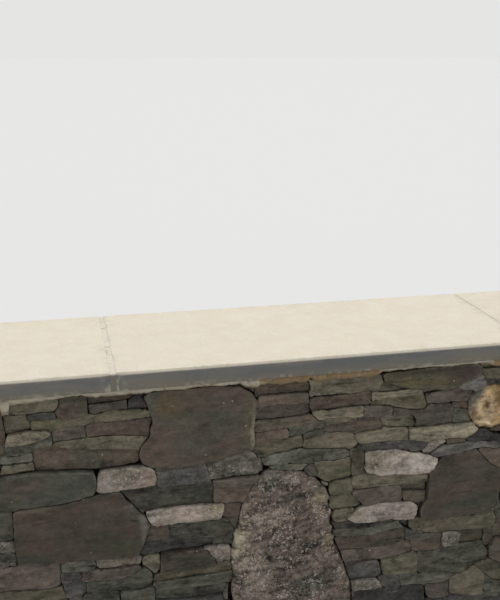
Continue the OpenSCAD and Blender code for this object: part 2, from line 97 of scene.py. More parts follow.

# The small stones around the middle bay, as read: finish and tone from 0 to 9, then the
# outline in mm
READ_STONES = """
O6 -808,703 -808,726 -780,731 -690,731 -686,722 -695,708 -705,703 B3 -760,697 -742,700 -722,703 -702,700 -691,692
-691,683 -720,682 -753,684 O4 -813,698 -762,698 -757,682 -756,661 -790,657 -807,656 O5 -753,680 -690,682 -650,679
-600,684 -560,690 -492,688 -476,680 -470,668 -492,664 -560,660 -640,660 -700,655 -753,657 U4 -684,714 -678,729
-650,732 -618,733 -615,700 -618,688 -650,680 -690,682 -692,700 U3 -614,738 -560,741 -520,738 -505,727 -512,719
-540,716 -613,714 P4 -613,712 -540,714 -518,718 -518,690 -560,690 -600,686 -612,694 B2 -518,718 -505,722 -480,725
-478,715 -471,697 -490,690 -518,690 P5 -698,655 -632,658 -627,640 -625,624 -660,622 -697,621 T4 -697,620 -640,622
-557,622 -512,617 -480,612 -468,607 -472,590 -497,580 -525,582 -560,589 -640,591 -675,602 -700,611 U4 -619,657
-560,659 -490,663 -466,662 -462,652 -468,634 -467,614 -512,619 -557,624 -618,623 U5 -750,600 -742,604 -703,607
-673,600 -640,589 -560,586 -500,577 -494,562 -503,545 -560,541 -648,541 -739,547 -750,556 T6 -812,623 -807,637
-807,652 -773,656 -716,654 -713,644 -730,634 -750,627 -782,622 G4 -816,614 -812,620 -782,621 -750,625 -730,632
-713,640 -707,619 -712,608 -744,603 -778,596 -812,593 G6 -822,590 -760,593 -755,585 -757,575 -790,570 -818,572
-826,580 T4 -820,567 -790,569 -757,571 -753,560 -756,548 -790,546 -825,545 U4 -872,735 -822,728 -820,664 -822,600
-868,602 U5 -180,722 -130,720 -52,716 -46,705 -60,701 -150,699 -183,700 U6 -177,694 -110,694 -58,689 -56,668
-100,664 -132,669 -160,665 -178,668 P4 -183,655 -160,662 -132,667 -100,662 -62,662 -52,655 -50,640 -62,632 -100,630
-150,629 -186,633 U6 -187,625 -100,627 -55,628 -33,617 -50,609 -70,603 -110,600 -145,598 -187,600 U6 -186,590
-150,596 -110,599 -102,590 -100,574 -135,569 -170,566 -188,566 G5 -102,598 -65,602 -44,609 -20,611 -4,605 -3,592
-22,587 -55,580 -100,571 O6 -44,721 20,723 100,719 143,718 147,706 146,690 110,686 85,682 60,680 45,688 0,691
-43,695 C5 -43,690 0,687 40,685 58,680 0,680 -35,682 U5 -33,677 10,678 60,677 95,681 119,681 121,668 126,652 122,644
70,645 38,644 28,641 -38,646 -42,652 T6 -29,630 -24,637 25,636 60,640 100,640 103,630 100,618 85,612 50,616 0,617
-18,614 -25,620 O5 0,615 50,614 82,610 88,606 50,600 2,595 P6 108,638 130,640 160,635 183,631 184,618 183,606
150,606 130,608 106,610 U6 -6,590 0,593 50,598 92,605 130,606 152,604 152,570 100,566 60,568 30,573 -5,577 G4
-60,580 -20,585 -9,586 -9,572 -12,567 -55,562 -60,568 O5 -188,562 -150,568 -100,570 -67,574 -62,566 -60,548 -78,540
-100,533 -130,529 -160,527 -180,530 -188,545 O6 -57,560 -10,566 0,572 40,570 70,563 78,552 88,540 88,527 75,524
50,524 10,527 -30,530 -52,533 -56,545 O4 150,698 180,697 197,688 230,680 200,677 150,676 T6 127,672 150,675 200,676
265,677 267,664 240,660 200,656 150,653 126,655 U5 268,676 320,671 325,666 300,663 270,664 B7 378,676 405,684
432,700 440,690 453,680 447,668 432,662 405,664 388,664 O6 126,650 160,651 200,655 240,658 269,661 275,650 283,628
280,617 263,615 232,620 195,631 161,633 128,641 P5 283,661 330,664 410,663 415,652 410,640 402,629 348,631 325,628
294,631 285,640 U4 360,625 402,625 402,606 385,610 365,614 P4 188,629 230,618 263,613 285,613 295,626 330,625
362,622 364,600 362,578 345,571 300,566 256,569 258,588 243,602 210,603 188,606 T5 157,597 175,602 210,601 243,600
256,588 253,570 200,569 183,572 160,590 G4 368,610 385,606 402,602 405,590 412,578 410,566 370,566 367,580 T8
241,563 285,563 330,560 400,565 420,560 436,545 430,536 412,526 400,521 370,525 330,529 290,527 262,530 243,536 T5
88,555 100,562 150,566 183,568 228,566 230,545 232,533 180,532 120,533 100,537 90,545 T4 445,738 500,740 545,738
545,722 500,720 450,721 442,726 O5 445,718 500,718 548,718 548,700 510,690 480,690 455,697 447,706 D3 455,688
480,685 520,683 548,689 548,675 520,673 480,674 456,676 B5 -444,515 -430,518 -400,517 -360,517 -330,520 -322,512
-320,495 -316,480 -322,470 -350,468 -380,466 -430,465 -441,468 -444,485 G3 -530,466 -500,470 -465,469 -440,464
-400,464 -360,466 -330,467 -307,463 -304,440 -305,408 -350,409 -400,408 -450,409 -485,404 -495,415 -512,440 C3
-316,505 -318,520 -300,524 -280,527 -250,530 -230,533 -215,535 -200,530 -190,520 -180,505 -178,490 -180,478 -195,473
-220,473 -240,475 -260,474 -290,474 -305,476 -312,485 P5 -303,468 -250,468 -210,467 -185,468 -182,452 -210,450
-250,449 -302,451 U5 -302,447 -250,446 -210,445 -199,440 -200,425 -205,410 -215,406 -250,408 -280,410 -303,410 U4
-468,350 -430,352 -425,335 -422,320 -430,314 -460,313 -478,316 -482,326 -475,340 G3 -418,345 -400,348 -380,348
-350,346 -300,348 -262,347 -257,340 -256,320 -262,304 -290,303 -330,307 -370,309 -400,313 -416,316 U4 -262,400
-235,398 -225,380 -232,360 -232,340 -240,328 -252,325 -257,340 -266,352 -270,370 -266,390 B3 -478,311 -430,312
-400,310 -370,306 -340,302 -312,300 -308,285 -312,276 -340,274 -380,272 -420,277 -450,274 -480,272 -492,276 -497,288
-488,302 G4 -300,300 -260,300 -256,285 -262,275 -290,277 -303,278 -305,288 T5 -482,266 -465,269 -449,266 -447,245
-450,222 -462,212 -468,225 -478,235 -488,250 U3 -445,266 -420,270 -380,268 -345,268 -322,262 -316,248 -310,240
-300,236 -300,220 -320,214 -370,213 -400,209 -445,209 -448,235 W3 -330,272 -322,266 -314,258 -311,246 -298,241
-296,226 -280,228 -267,231 -268,250 -263,272 -290,274 -300,272 O4 -460,206 -400,206 -350,211 -300,212 -292,220
-272,224 -262,205 -270,198 -300,195 -350,193 -380,192 -420,190 -458,192 G5 -460,188 -420,187 -380,189 -350,190
-300,192 -275,194 -262,190 -266,170 -272,163 -300,162 -350,161 -400,163 -450,162 -461,166 G4 -461,158 -400,159
-350,157 -300,158 -276,158 -276,145 -285,132 -300,127 -340,123 -400,126 -461,135 B4 -460,130 -400,122 -340,118
-290,118 -285,85 -380,82 -460,88 P6 -872,280 -830,281 -780,281 -718,279 -712,270 -710,250 -712,230 -716,216 -735,208
-780,210 -830,216 -872,214 G5 -698,272 -680,280 -650,281 -620,276 -618,262 -622,249 -650,249 -680,251 -698,254 B3
-704,244 -690,250 -660,248 -656,235 -665,222 -680,218 -700,228 W3 -613,276 -580,275 -550,273 -510,267 -503,261
-508,249 -540,245 -580,245 -600,244 -610,255 P5 -653,246 -620,243 -580,242 -540,242 -512,244 -506,235 -515,222
-545,213 -580,215 -620,216 -640,221 -653,232 G4 -640,213 -600,212 -560,209 -520,218 -490,228 -474,212 -478,190
-490,177 -520,174 -560,178 -600,180 -640,183 O4 -872,210 -830,212 -780,206 -735,204 -704,204 -702,182 -735,180
-800,180 -872,182 B5 -697,215 -660,217 -645,212 -646,182 -657,179 -690,179 -698,195 G3 -645,176 -600,177 -562,175
-559,150 -565,135 -640,138 G4 -553,172 -500,170 -466,170 -466,130 -520,132 -553,135 G4 -872,440 -822,440 -818,390
-822,365 -872,362 C2 -872,357 -822,357 -820,336 -872,333 G3 -872,330 -822,331 -820,306 -872,308 C3 -872,303 -822,303
-817,287 -872,285 G7 -165,512 -150,520 -125,525 -90,528 -60,529 -30,528 0,525 40,522 58,518 62,508 52,499 20,496
-30,494 -80,495 -120,497 -140,499 -160,505 G6 -135,494 -100,493 -60,491 -50,487 -60,482 -90,479 -120,481 -134,484
-142,489 O5 -28,490 0,490 40,489 72,489 76,475 74,455 68,450 65,438 40,434 20,435 5,440 -5,447 -15,455 -22,470 D3
-52,479 -34,487 -25,470 -18,456 -38,463 O3 78,512 105,514 108,490 106,470 110,450 85,447 76,455 78,480 77,500 B4
92,524 130,528 180,530 230,527 270,522 292,515 286,504 262,502 235,504 200,510 150,515 100,516 W3 290,492 298,510
318,524 340,524 347,515 340,507 325,497 306,489 U4 350,507 350,525 375,524 400,519 400,508 B2 408,517 420,530
440,537 460,534 480,518 505,511 505,501 450,509 420,510 B6 308,481 330,475 360,478 400,483 440,490 450,492 470,488
500,480 508,497 450,506 400,505 350,504 335,500 320,492 U5 452,486 470,482 500,477 515,470 526,450 528,430 512,425
500,432 484,442 468,458 455,474 O5 24,428 72,428 76,410 76,392 50,388 30,388 22,400 T4 80,430 100,433 130,432
150,428 200,428 250,424 290,419 297,408 290,398 250,396 200,398 150,400 100,397 82,398 P5 82,392 130,395 180,394
215,393 222,375 228,352 200,350 150,350 120,352 115,362 95,372 82,380 U4 226,392 260,391 290,388 292,378 270,373
232,377 U5 232,374 270,370 290,364 292,345 270,340 240,346 230,352 O5 25,380 50,386 80,384 90,372 92,355 80,348
50,348 30,352 22,362 T5 38,340 60,341 78,336 76,322 60,313 42,309 33,320 D2 36,300 60,301 90,295 118,291 150,290
190,290 200,284 170,280 120,277 80,281 45,286 G5 45,280 80,276 130,274 180,278 212,280 220,268 200,262 160,254
110,252 70,254 45,262 38,272 U4 45,255 80,250 130,250 180,252 210,260 233,254 241,240 237,223 200,214 150,212
110,211 70,215 54,222 45,240 P5 62,212 100,211 150,210 200,212 236,221 255,211 262,198 255,184 220,178 180,175
130,176 100,177 72,174 60,190 U3 74,172 110,172 150,171 163,166 140,161 100,158 80,160 B6 78,150 100,155 130,160
158,157 163,150 168,135 172,122 168,109 150,108 110,110 88,110 82,125 C5 88,105 110,107 150,105 163,103 165,90
172,80 165,76 130,76 95,79 90,90 T4 186,167 200,165 230,169 270,171 280,166 285,140 285,112 250,110 228,117 205,115
188,122 186,135 B3 245,247 262,242 290,237 298,233 292,222 265,220 250,223 243,235 O5 262,275 300,277 310,275
350,270 400,265 450,262 480,268 505,272 515,260 512,240 500,229 470,231 430,233 400,233 350,233 310,237 280,249
262,258 U5 300,232 350,230 355,215 352,200 354,182 345,173 300,176 276,185 265,200 262,212 270,221 298,225 C4
360,226 380,228 400,226 411,220 408,200 400,190 380,186 362,189 358,200 O3 415,225 450,222 480,220 486,205 485,188
450,184 420,184 410,190 411,205 O3 489,225 515,225 516,190 508,172 494,168 489,190 G4 289,172 340,171 352,179
400,184 440,182 485,179 492,160 498,140 496,121 468,117 455,110 445,100 432,95 400,92 372,98 350,104 300,106 288,112
G6 240,101 285,104 300,101 350,98 372,92 395,88 382,76 374,66 345,64 300,68 255,71 239,79 B4 178,100 200,104 225,99
235,92 237,78 235,60 206,58 196,72 185,84 B2 92,75 130,72 170,71 188,69 203,56 238,57 252,67 290,64 302,60 305,8
200,6 100,8 P5 322,62 345,61 384,59 386,40 384,18 350,19 330,26 327,45 O6 395,72 420,76 445,90 462,103 472,96 485,88
499,73 500,40 498,12 470,8 430,15 400,24 392,40 G5 501,72 515,60 530,48 545,40 550,5 545,-8 505,0 501,20 O4 468,110
500,117 530,112 545,98 549,50 530,50 513,63 501,75 488,89 B4 392,20 430,11 470,4 500,-4 545,-12 560,-16 560,-48
392,-48 U5 513,168 530,190 545,180 548,140 548,105 522,122 515,140 U5 519,248 575,250 575,192 521,190 G4 520,300
575,302 575,256 521,254 B3 92,-4 200,-2 305,0 386,10 388,-46 92,-46
"""

# The large stones of the middle bay: name, finish and tone, then a line for each stain with
# its middle and half widths in mm, its colour and its strength
# The lens_stone's dark bands at z 727 and 722 are painted shade along its top, under the coping.
# The sandstone_cobble's dark grey stains at x 408 and 425 are painted shadow on its left side.
READ_LARGE_STONES = """
granite_boulder BOULDER 0.5
-143 451 46 26 504e47 0.8
-92 446 30 14 968c80 0.7
-11 394 34 50 77705a 0.65
-236 290 26 84 a89d86 0.85
-150 340 70 26 978c7e 0.5
12 243 20 26 736a50 0.6
-25 125 56 40 4c4e45 0.85
50 170 46 60 5f544c 0.7
-98 202 50 46 5b5049 0.5
-205 130 44 50 8d7f74 0.6
-60 290 60 36 62564e 0.5
-170 190 40 30 877b6e 0.5
-90 385 60 18 5a504a 0.5
square_slab UMBER 0.49
-419 695 40 30 5d5138 0.7
-273 621 50 40 4d4f46 0.6
-373 589 48 38 4d4f45 0.6
-466 700 18 48 55564a 0.8
-251 691 44 34 5c4f4a 0.6
-214 630 9 74 5b5540 0.7
-196 610 9 66 857c69 0.9
broad_slab UMBER 0.375
-580 409 60 30 59514a 0.6
-671 392 62 34 574a43 0.5
-535 359 34 20 5a4b41 0.5
-600 330 70 34 44483b 0.65
-532 307 44 24 4d4f3d 0.7
-486 362 12 44 7b786b 0.8
-507 418 24 20 666359 0.7
-770 300 70 20 41453c 0.65
-777 345 24 20 584940 0.55
-768 442 52 8 716657 0.6
diamond_slab UMBER 0.4
438 316 84 34 474c41 0.7
443 430 60 34 5a5049 0.6
350 459 30 12 3a3631 0.7
512 371 30 30 544640 0.6
long_green_stone GREEN 0.4
-776 508 50 28 584c41 0.7
-830 490 34 24 555040 0.6
-660 500 44 34 4a4c43 0.5
lens_stone OLIVE 0.42
235 700 90 14 6b6347 0.9
395 714 60 30 4c413c 0.95
300 727 110 8 453d33 0.8
185 722 30 12 4f4536 0.8
310 690 50 12 5e5440 0.6
sandstone_cobble TAN 0.455
500 640 44 34 6f5730 0.95
452 600 36 44 d3bb95 0.8
440 560 40 12 e0cba6 0.7
408 628 18 44 55564f 1.0
425 652 26 14 4e5049 0.9
456 618 8 14 6b4528 0.9
426 590 12 12 7a6248 0.8
520 600 24 50 87632f 0.85
478 566 10 8 8a6a42 0.7
pale_stone_upper_left PALE 0.38
-528 516 34 18 76705f 0.75
-470 500 26 22 a58b7c 0.6
-580 486 24 18 aaa095 0.6
pale_stone_lower_left PALE 0.52
-300 388 26 18 87795c 0.7
-437 396 30 12 746d5f 0.7
-370 378 44 16 ad9a8e 0.6
pale_stone_upper_right PALE 0.52
136 482 40 44 79705d 0.8
270 452 50 30 b5aca3 0.8
200 440 40 12 b8afa4 0.6
pale_stone_lower_right PALE 0.49
88 318 30 24 7c7360 0.8
200 316 60 22 b0a299 0.7
"""


def colour(code: str) -> tuple[float, float, float, float]:
    """Turns a colour written as six hexadecimal digits into a linear one.

    Args:
        code: red, green and blue, two digits each.

    Returns:
        The linear colour, with an alpha of 1.
    """
    parts = [int(code[k : k + 2], 16) / 255 for k in (0, 2, 4)]
    linear = [p / 12.92 if p <= 0.04045 else ((p + 0.055) / 1.055) ** 2.4 for p in parts]
    return (*linear, 1.0)


class Value:
    """A node's output that plain arithmetic works on."""

    def __init__(self, graph: "Graph", socket: Socket) -> None:
        """Keeps the graph and the output."""
        self.graph = graph
        self.socket = socket

    def __add__(self, other: object) -> "Value":
        """Returns the sum."""
        return self.graph.math("ADD", self, other)

    def __radd__(self, other: float) -> "Value":
        """Returns the sum with a number."""
        return self.graph.math("ADD", other, self)

    def __sub__(self, other: object) -> "Value":
        """Returns the difference."""
        return self.graph.math("SUBTRACT", self, other)

    def __rsub__(self, other: float) -> "Value":
        """Returns the difference from a number."""
        return self.graph.math("SUBTRACT", other, self)

    def __mul__(self, other: object) -> "Value":
        """Returns the product."""
        return self.graph.math("MULTIPLY", self, other)

    def __truediv__(self, other: object) -> "Value":
        """Returns the quotient."""
        return self.graph.math("DIVIDE", self, other)


SOCKETS = {
    "VALUE": "NodeSocketFloat", "RGBA": "NodeSocketColor", "VECTOR": "NodeSocketVector",
    "GEOMETRY": "NodeSocketGeometry", "INT": "NodeSocketInt", "MATERIAL": "NodeSocketMaterial",
}


class Graph:
    """A node tree, with short calls for the nodes that the finishes use."""

    def __init__(self, tree: bpy.types.NodeTree) -> None:
        """Takes the tree to build in."""
        self.tree = tree

    def add(self, kind: str, inputs: dict | None = None, **settings: object) -> bpy.types.Node:
        """Adds a node.

        Args:
            kind: the node's type.
            inputs: values or outputs for its inputs, by name or number.
            settings: the node's own settings.

        Returns:
            The node.
        """
        node = self.tree.nodes.new(kind)
        for name, value in settings.items():
            setattr(node, name, value)
        for name, value in (inputs or {}).items():
            self.feed(node.inputs[name], value)
        return node

    def feed(self, target: Socket, value: object) -> None:
        """Links an output to the target, or sets the target's value.

        Args:
            target: an input.
            value: an output or a plain value.
        """
        if isinstance(value, Value):
            self.tree.links.new(value.socket, target)
        else:
            target.default_value = value

    def out(self, kind: str, inputs: dict | None = None, at: str | int = 0, **settings: object) -> Value:
        """Adds a node and returns its output of that name or number."""
        return Value(self, self.add(kind, inputs, **settings).outputs[at])

    def outs(self, kind: str, inputs: dict | None = None, **settings: object) -> dict[str, Value]:
        """Adds a node and returns its outputs by name."""
        return {s.name: Value(self, s) for s in self.add(kind, inputs, **settings).outputs if s.name}

    def group(self, tree: bpy.types.NodeTree, **inputs: object) -> dict[str, Value]:
        """Adds a shared group, feeds it and returns its outputs by name."""
        return self.outs("ShaderNodeGroup", inputs, node_tree=tree)

    def close(self, **values: Value) -> bpy.types.NodeTree:
        """Gives the tree its outputs.

        Args:
            values: each output's value, by its name.

        Returns:
            The tree.
        """
        for name, value in values.items():
            kind = SOCKETS[value.socket.type]
            self.tree.interface.new_socket(name, in_out="OUTPUT", socket_type=kind)
        self.add("NodeGroupOutput", values)
        return self.tree

    def attribute(self, name: str) -> Value:
        """Returns an attribute of the mesh."""
        return self.out("ShaderNodeAttribute", at="Fac", attribute_name=name)

    def math(self, operation: str, a: object, b: object = 0.0, clamp: bool = False) -> Value:
        """Returns the result of a Math node."""
        return self.out("ShaderNodeMath", {0: a, 1: b}, operation=operation, use_clamp=clamp)

    def vector(self, operation: str, a: object, b: object = (0, 0, 0)) -> Value:
        """Returns the vector that a Vector Math node gives."""
        return self.out("ShaderNodeVectorMath", {0: a, 1: b}, operation=operation)

    def scaled(self, vector: object, scale: object) -> Value:
        """Returns the vector, scaled evenly."""
        return self.out("ShaderNodeVectorMath", {0: vector, "Scale": scale}, operation="SCALE")

    def stretch(self, vector: object, scale: tuple[float, float, float]) -> Value:
        """Returns the vector, stretched along each axis."""
        return self.vector("MULTIPLY", vector, scale)

    def joined(self, x: object, y: object, z: object) -> Value:
        """Returns the vector of three values."""
        return self.out("ShaderNodeCombineXYZ", {0: x, 1: y, 2: z})

    def parts(self, vector: object) -> list[Value]:
        """Returns the three values of a vector."""
        return list(self.outs("ShaderNodeSeparateXYZ", {0: vector}).values())

    def noise(
        self, vector: object, scale: float, detail: float = 3.0, rough: float = 0.55, warp: float = 0.0
    ) -> Value:
        """Returns the value of a noise texture."""
        inputs = {"Vector": vector, "Scale": scale, "Detail": detail, "Roughness": rough, "Distortion": warp}
        return self.out("ShaderNodeTexNoise", inputs)

    def window(
        self, value: object, low: object, high: object, bottom: float = 0.0, top: object = 1.0,
        ramp: str = "SMOOTHSTEP",
    ) -> Value:
        """Returns the value, mapped smoothly from low..high to bottom..top."""
        inputs = {"Value": value, "From Min": low, "From Max": high, "To Min": bottom, "To Max": top}
        return self.out("ShaderNodeMapRange", inputs, interpolation_type=ramp)

    def mix(self, factor: object, a: object, b: object, blend: str = "MIX") -> Value:
        """Returns a mixed colour."""
        return self.out("ShaderNodeMix", {0: factor, 6: a, 7: b}, 2, data_type="RGBA", blend_type=blend)

    def shade(self, base: Value, level: Value) -> Value:
        """Returns the colour times a level."""
        grey = self.out("ShaderNodeCombineColor", {0: level, 1: level, 2: level})
        return self.mix(1.0, base, grey, "MULTIPLY")

    def surface(
        self, base: Value, rough: object, height: Value, bump: float, deep: float, gloss: float = 0.3
    ) -> None:
        """Ends a material.

        Args:
            base: its colour.
            rough: its roughness.
            height: the height of its grain.
            bump: how strongly the height bends the light.
            deep: the depth of the grain, in metres.
            gloss: how strongly it mirrors.
        """
        normal = self.out("ShaderNodeBump", {"Strength": bump, "Distance": deep, "Height": height})
        inputs = {"Base Color": base, "Roughness": rough, "Normal": normal, "Specular IOR Level": gloss}
        self.add("ShaderNodeOutputMaterial", {0: self.out("ShaderNodeBsdfPrincipled", inputs)})


def start_group(name: str, tree: str = "ShaderNodeTree", **inputs: str) -> tuple[Graph, dict[str, Value]]:
    """Starts a node group.

    Args:
        name: the group's name.
        tree: the type of its tree.
        inputs: each input's name and kind, one of SOCKETS.

    Returns:
        The graph and its inputs by name.
    """
    graph = Graph(bpy.data.node_groups.new(name, tree))
    for label, kind in inputs.items():
        graph.tree.interface.new_socket(label, in_out="INPUT", socket_type=SOCKETS[kind])
    return graph, graph.outs("NodeGroupInput")


def new_material(name: str) -> tuple[bpy.types.Material, Graph]:
    """Makes an empty material.

    Args:
        name: its name.

    Returns:
        The material and its graph.
    """
    material = bpy.data.materials.new(name)
    material.use_nodes = True
    material.node_tree.nodes.clear()
    return material, Graph(material.node_tree)


class SharedEffects:
    """The shader groups that several finishes share."""

    def __init__(self) -> None:
        """Builds each group once."""
        self.bedding = self.build_bedding()
        self.wear = self.build_wear()
        self.lichen = self.build_lichen()
        self.specks = self.build_specks()
        self.deep_darkening = self.build_deep_darkening()
        self.stain = self.build_stain()
        self.dots = self.build_dots()

    def build_bedding(self) -> bpy.types.NodeTree:
        """Builds the group for the layers in a bedded stone: streaks, thin clefts and a height.

        Returns:
            The group.
        """
        g, s = start_group("bedding_grain", Vector="VECTOR")
        spot = s["Vector"]
        bands = g.noise(g.stretch(spot, (3.0, 3.0, 26.0)), 1.6, 4.0, 0.6, 0.4)
        lines = g.noise(g.stretch(spot, (9.0, 9.0, 110.0)), 1.0, 3.0, 0.6)
        mixed = bands * 0.6 + lines * 0.4
        wave = g.noise(g.stretch(spot, (2.4, 2.4, 36.0)), 1.0, 3.0, 0.6, 0.35)
        line = g.window(g.math("ABSOLUTE", wave - 0.5), 0.024, 0.006)
        clefts = line * g.window(g.noise(spot, 9.0, 2.0), 0.54, 0.64)
        return g.close(Streaks=g.window(mixed, 0.34, 0.66), Clefts=clefts, Height=mixed - clefts * 0.8)

    def build_dots(self) -> bpy.types.NodeTree:
        """Builds the group for scattered round dots, such as young lichen or small pits.

        Returns:
            The group.
        """
        g, s = start_group(
            "scattered_dots", Color="RGBA", Dot="RGBA", Amount="VALUE", Fineness="VALUE", Vector="VECTOR"
        )
        spot = s["Vector"]
        stir = g.out("ShaderNodeTexNoise", {"Vector": spot, "Scale": 180.0, "Detail": 2.0}, "Color")
        sway = g.stretch(g.vector("SUBTRACT", stir, (0.5, 0.5, 0.5)), (0.008, 0.008, 0.008))
        inputs = {"Vector": g.vector("ADD", spot, sway), "Scale": s["Fineness"]}
        cell = g.outs("ShaderNodeTexVoronoi", inputs)
        dice = list(g.outs("ShaderNodeSeparateColor", {0: cell["Color"]}).values())
        clump = g.window(g.noise(spot, 14.0, 2.0), 0.44, 0.62, 0.25, 1.0)
        size = g.window(dice[1], 0.0, 1.0, 0.10, 0.36) * clump
        near = g.window(cell["Distance"], size, size * 0.35)
        mask = near * g.math("GREATER_THAN", dice[0], 1.0 - s["Amount"])
        return g.close(Color=g.mix(mask * 0.85, s["Color"], s["Dot"]), Mask=mask)

    def build_wear(self) -> bpy.types.NodeTree:
        """Builds the group that pales a colour along broken edges: partly wear, partly a painted highlight on the
        arrises.

        Returns:
            The group.
        """
        g, s = start_group(
            "edge_wear_and_highlight", Color="RGBA", Worn="RGBA", Rim="VALUE", Amount="VALUE", Vector="VECTOR"
        )
        broken = g.window(g.noise(s["Vector"], 55.0, 4.0, 0.65), 0.42, 0.62)
        patches = g.window(g.noise(s["Vector"], 13.0, 2.0), 0.38, 0.58)
        mask = s["Rim"] * broken * (patches * s["Amount"])
        return g.close(Color=g.mix(mask, s["Color"], s["Worn"]))

    def build_lichen(self) -> bpy.types.NodeTree:
        """Builds the group for lichen: crusts in patches, with small spots around them.

        Returns:
            The group.
        """
        g, s = start_group("lichen", Color="RGBA", Crust="RGBA", Amount="VALUE", Vector="VECTOR")
        patches = g.noise(s["Vector"], 9.0, 3.0, 0.6)
        crust = g.noise(s["Vector"], 70.0, 5.0, 0.7, 0.6)
        over = patches * 0.65 + crust * 0.35 - (0.74 - s["Amount"] * 0.30)
        mask = g.math("MULTIPLY", over, 22.0, True)
        return g.close(Color=g.mix(mask * 0.8, s["Color"], s["Crust"]), Height=mask)

    def build_specks(self) -> bpy.types.NodeTree:
        """Builds the group for the mineral grains of a granite or quartzite, in clumps.

        Returns:
            The group.
        """
        g, s = start_group(
            "mineral_specks", Color="RGBA", Light="RGBA", Dark="RGBA", Amount="VALUE", Vector="VECTOR"
        )
        spot = s["Vector"]
        clumps = g.window(g.noise(spot, 13.0, 6.0, 0.75, 0.5), 0.44, 0.57, 0.15, 1.0)
        grains = g.noise(spot, 175.0, 2.0, 0.65, 0.5) * 0.5 + g.noise(spot, 62.0, 5.0, 0.75, 0.4) * 0.5
        light = g.math("MULTIPLY", g.window(grains, 0.515, 0.58) * clumps, s["Amount"], True)
        holes = g.window(g.noise(spot, 17.0, 4.0, 0.65, 0.4), 0.42, 0.60, 0.15, 0.8)
        dark = g.math("MULTIPLY", g.window(grains, 0.45, 0.38) * s["Amount"], holes, True)
        lit = g.mix(light, s["Color"], s["Light"])
        return g.close(Color=g.mix(dark, lit, s["Dark"]), Height=light - dark)

    def build_stain(self) -> bpy.types.NodeTree:
        """Builds the group for one ragged patch of another colour, at a place on a stone.

        Returns:
            The group.
        """
        g, s = start_group(
            "stain_patch", Color="RGBA", Stain="RGBA", Amount="VALUE", Vector="VECTOR", Centre="VECTOR",
            Size="VECTOR",
        )
        rel = g.vector("DIVIDE", g.vector("SUBTRACT", s["Vector"], s["Centre"]), s["Size"])
        away = g.out("ShaderNodeVectorMath", {0: rel}, "Value", operation="LENGTH")
        ragged = (g.noise(s["Vector"], 24.0, 6.0, 0.7) - 0.5) * 2.8
        mask = g.window(away + ragged, 1.55, 0.15) * s["Amount"]
        return g.close(Color=g.mix(mask, s["Color"], s["Stain"]))

    def build_deep_darkening(self) -> bpy.types.NodeTree:
        """Builds the group that darkens a stone deeper in its joints.

        Returns:
            The group.
        """
        g, s = start_group("darker_deep_in_joints", Color="RGBA", Recess="VALUE", Vector="VECTOR")
        reach = s["Recess"] + (g.noise(s["Vector"], 40.0, 3.0, 0.6) - 0.5) * 0.25
        return g.close(Color=g.mix(g.window(reach, 0.12, 0.75), s["Color"], colour("3a332b")))


@dataclass(frozen=True)
class Stain:
    """A patch of another colour on a large stone: its middle, its half widths in mm and its colour."""

    x: float
    z: float
    wide: float
    high: float
    shade: str
    amount: float = 0.8


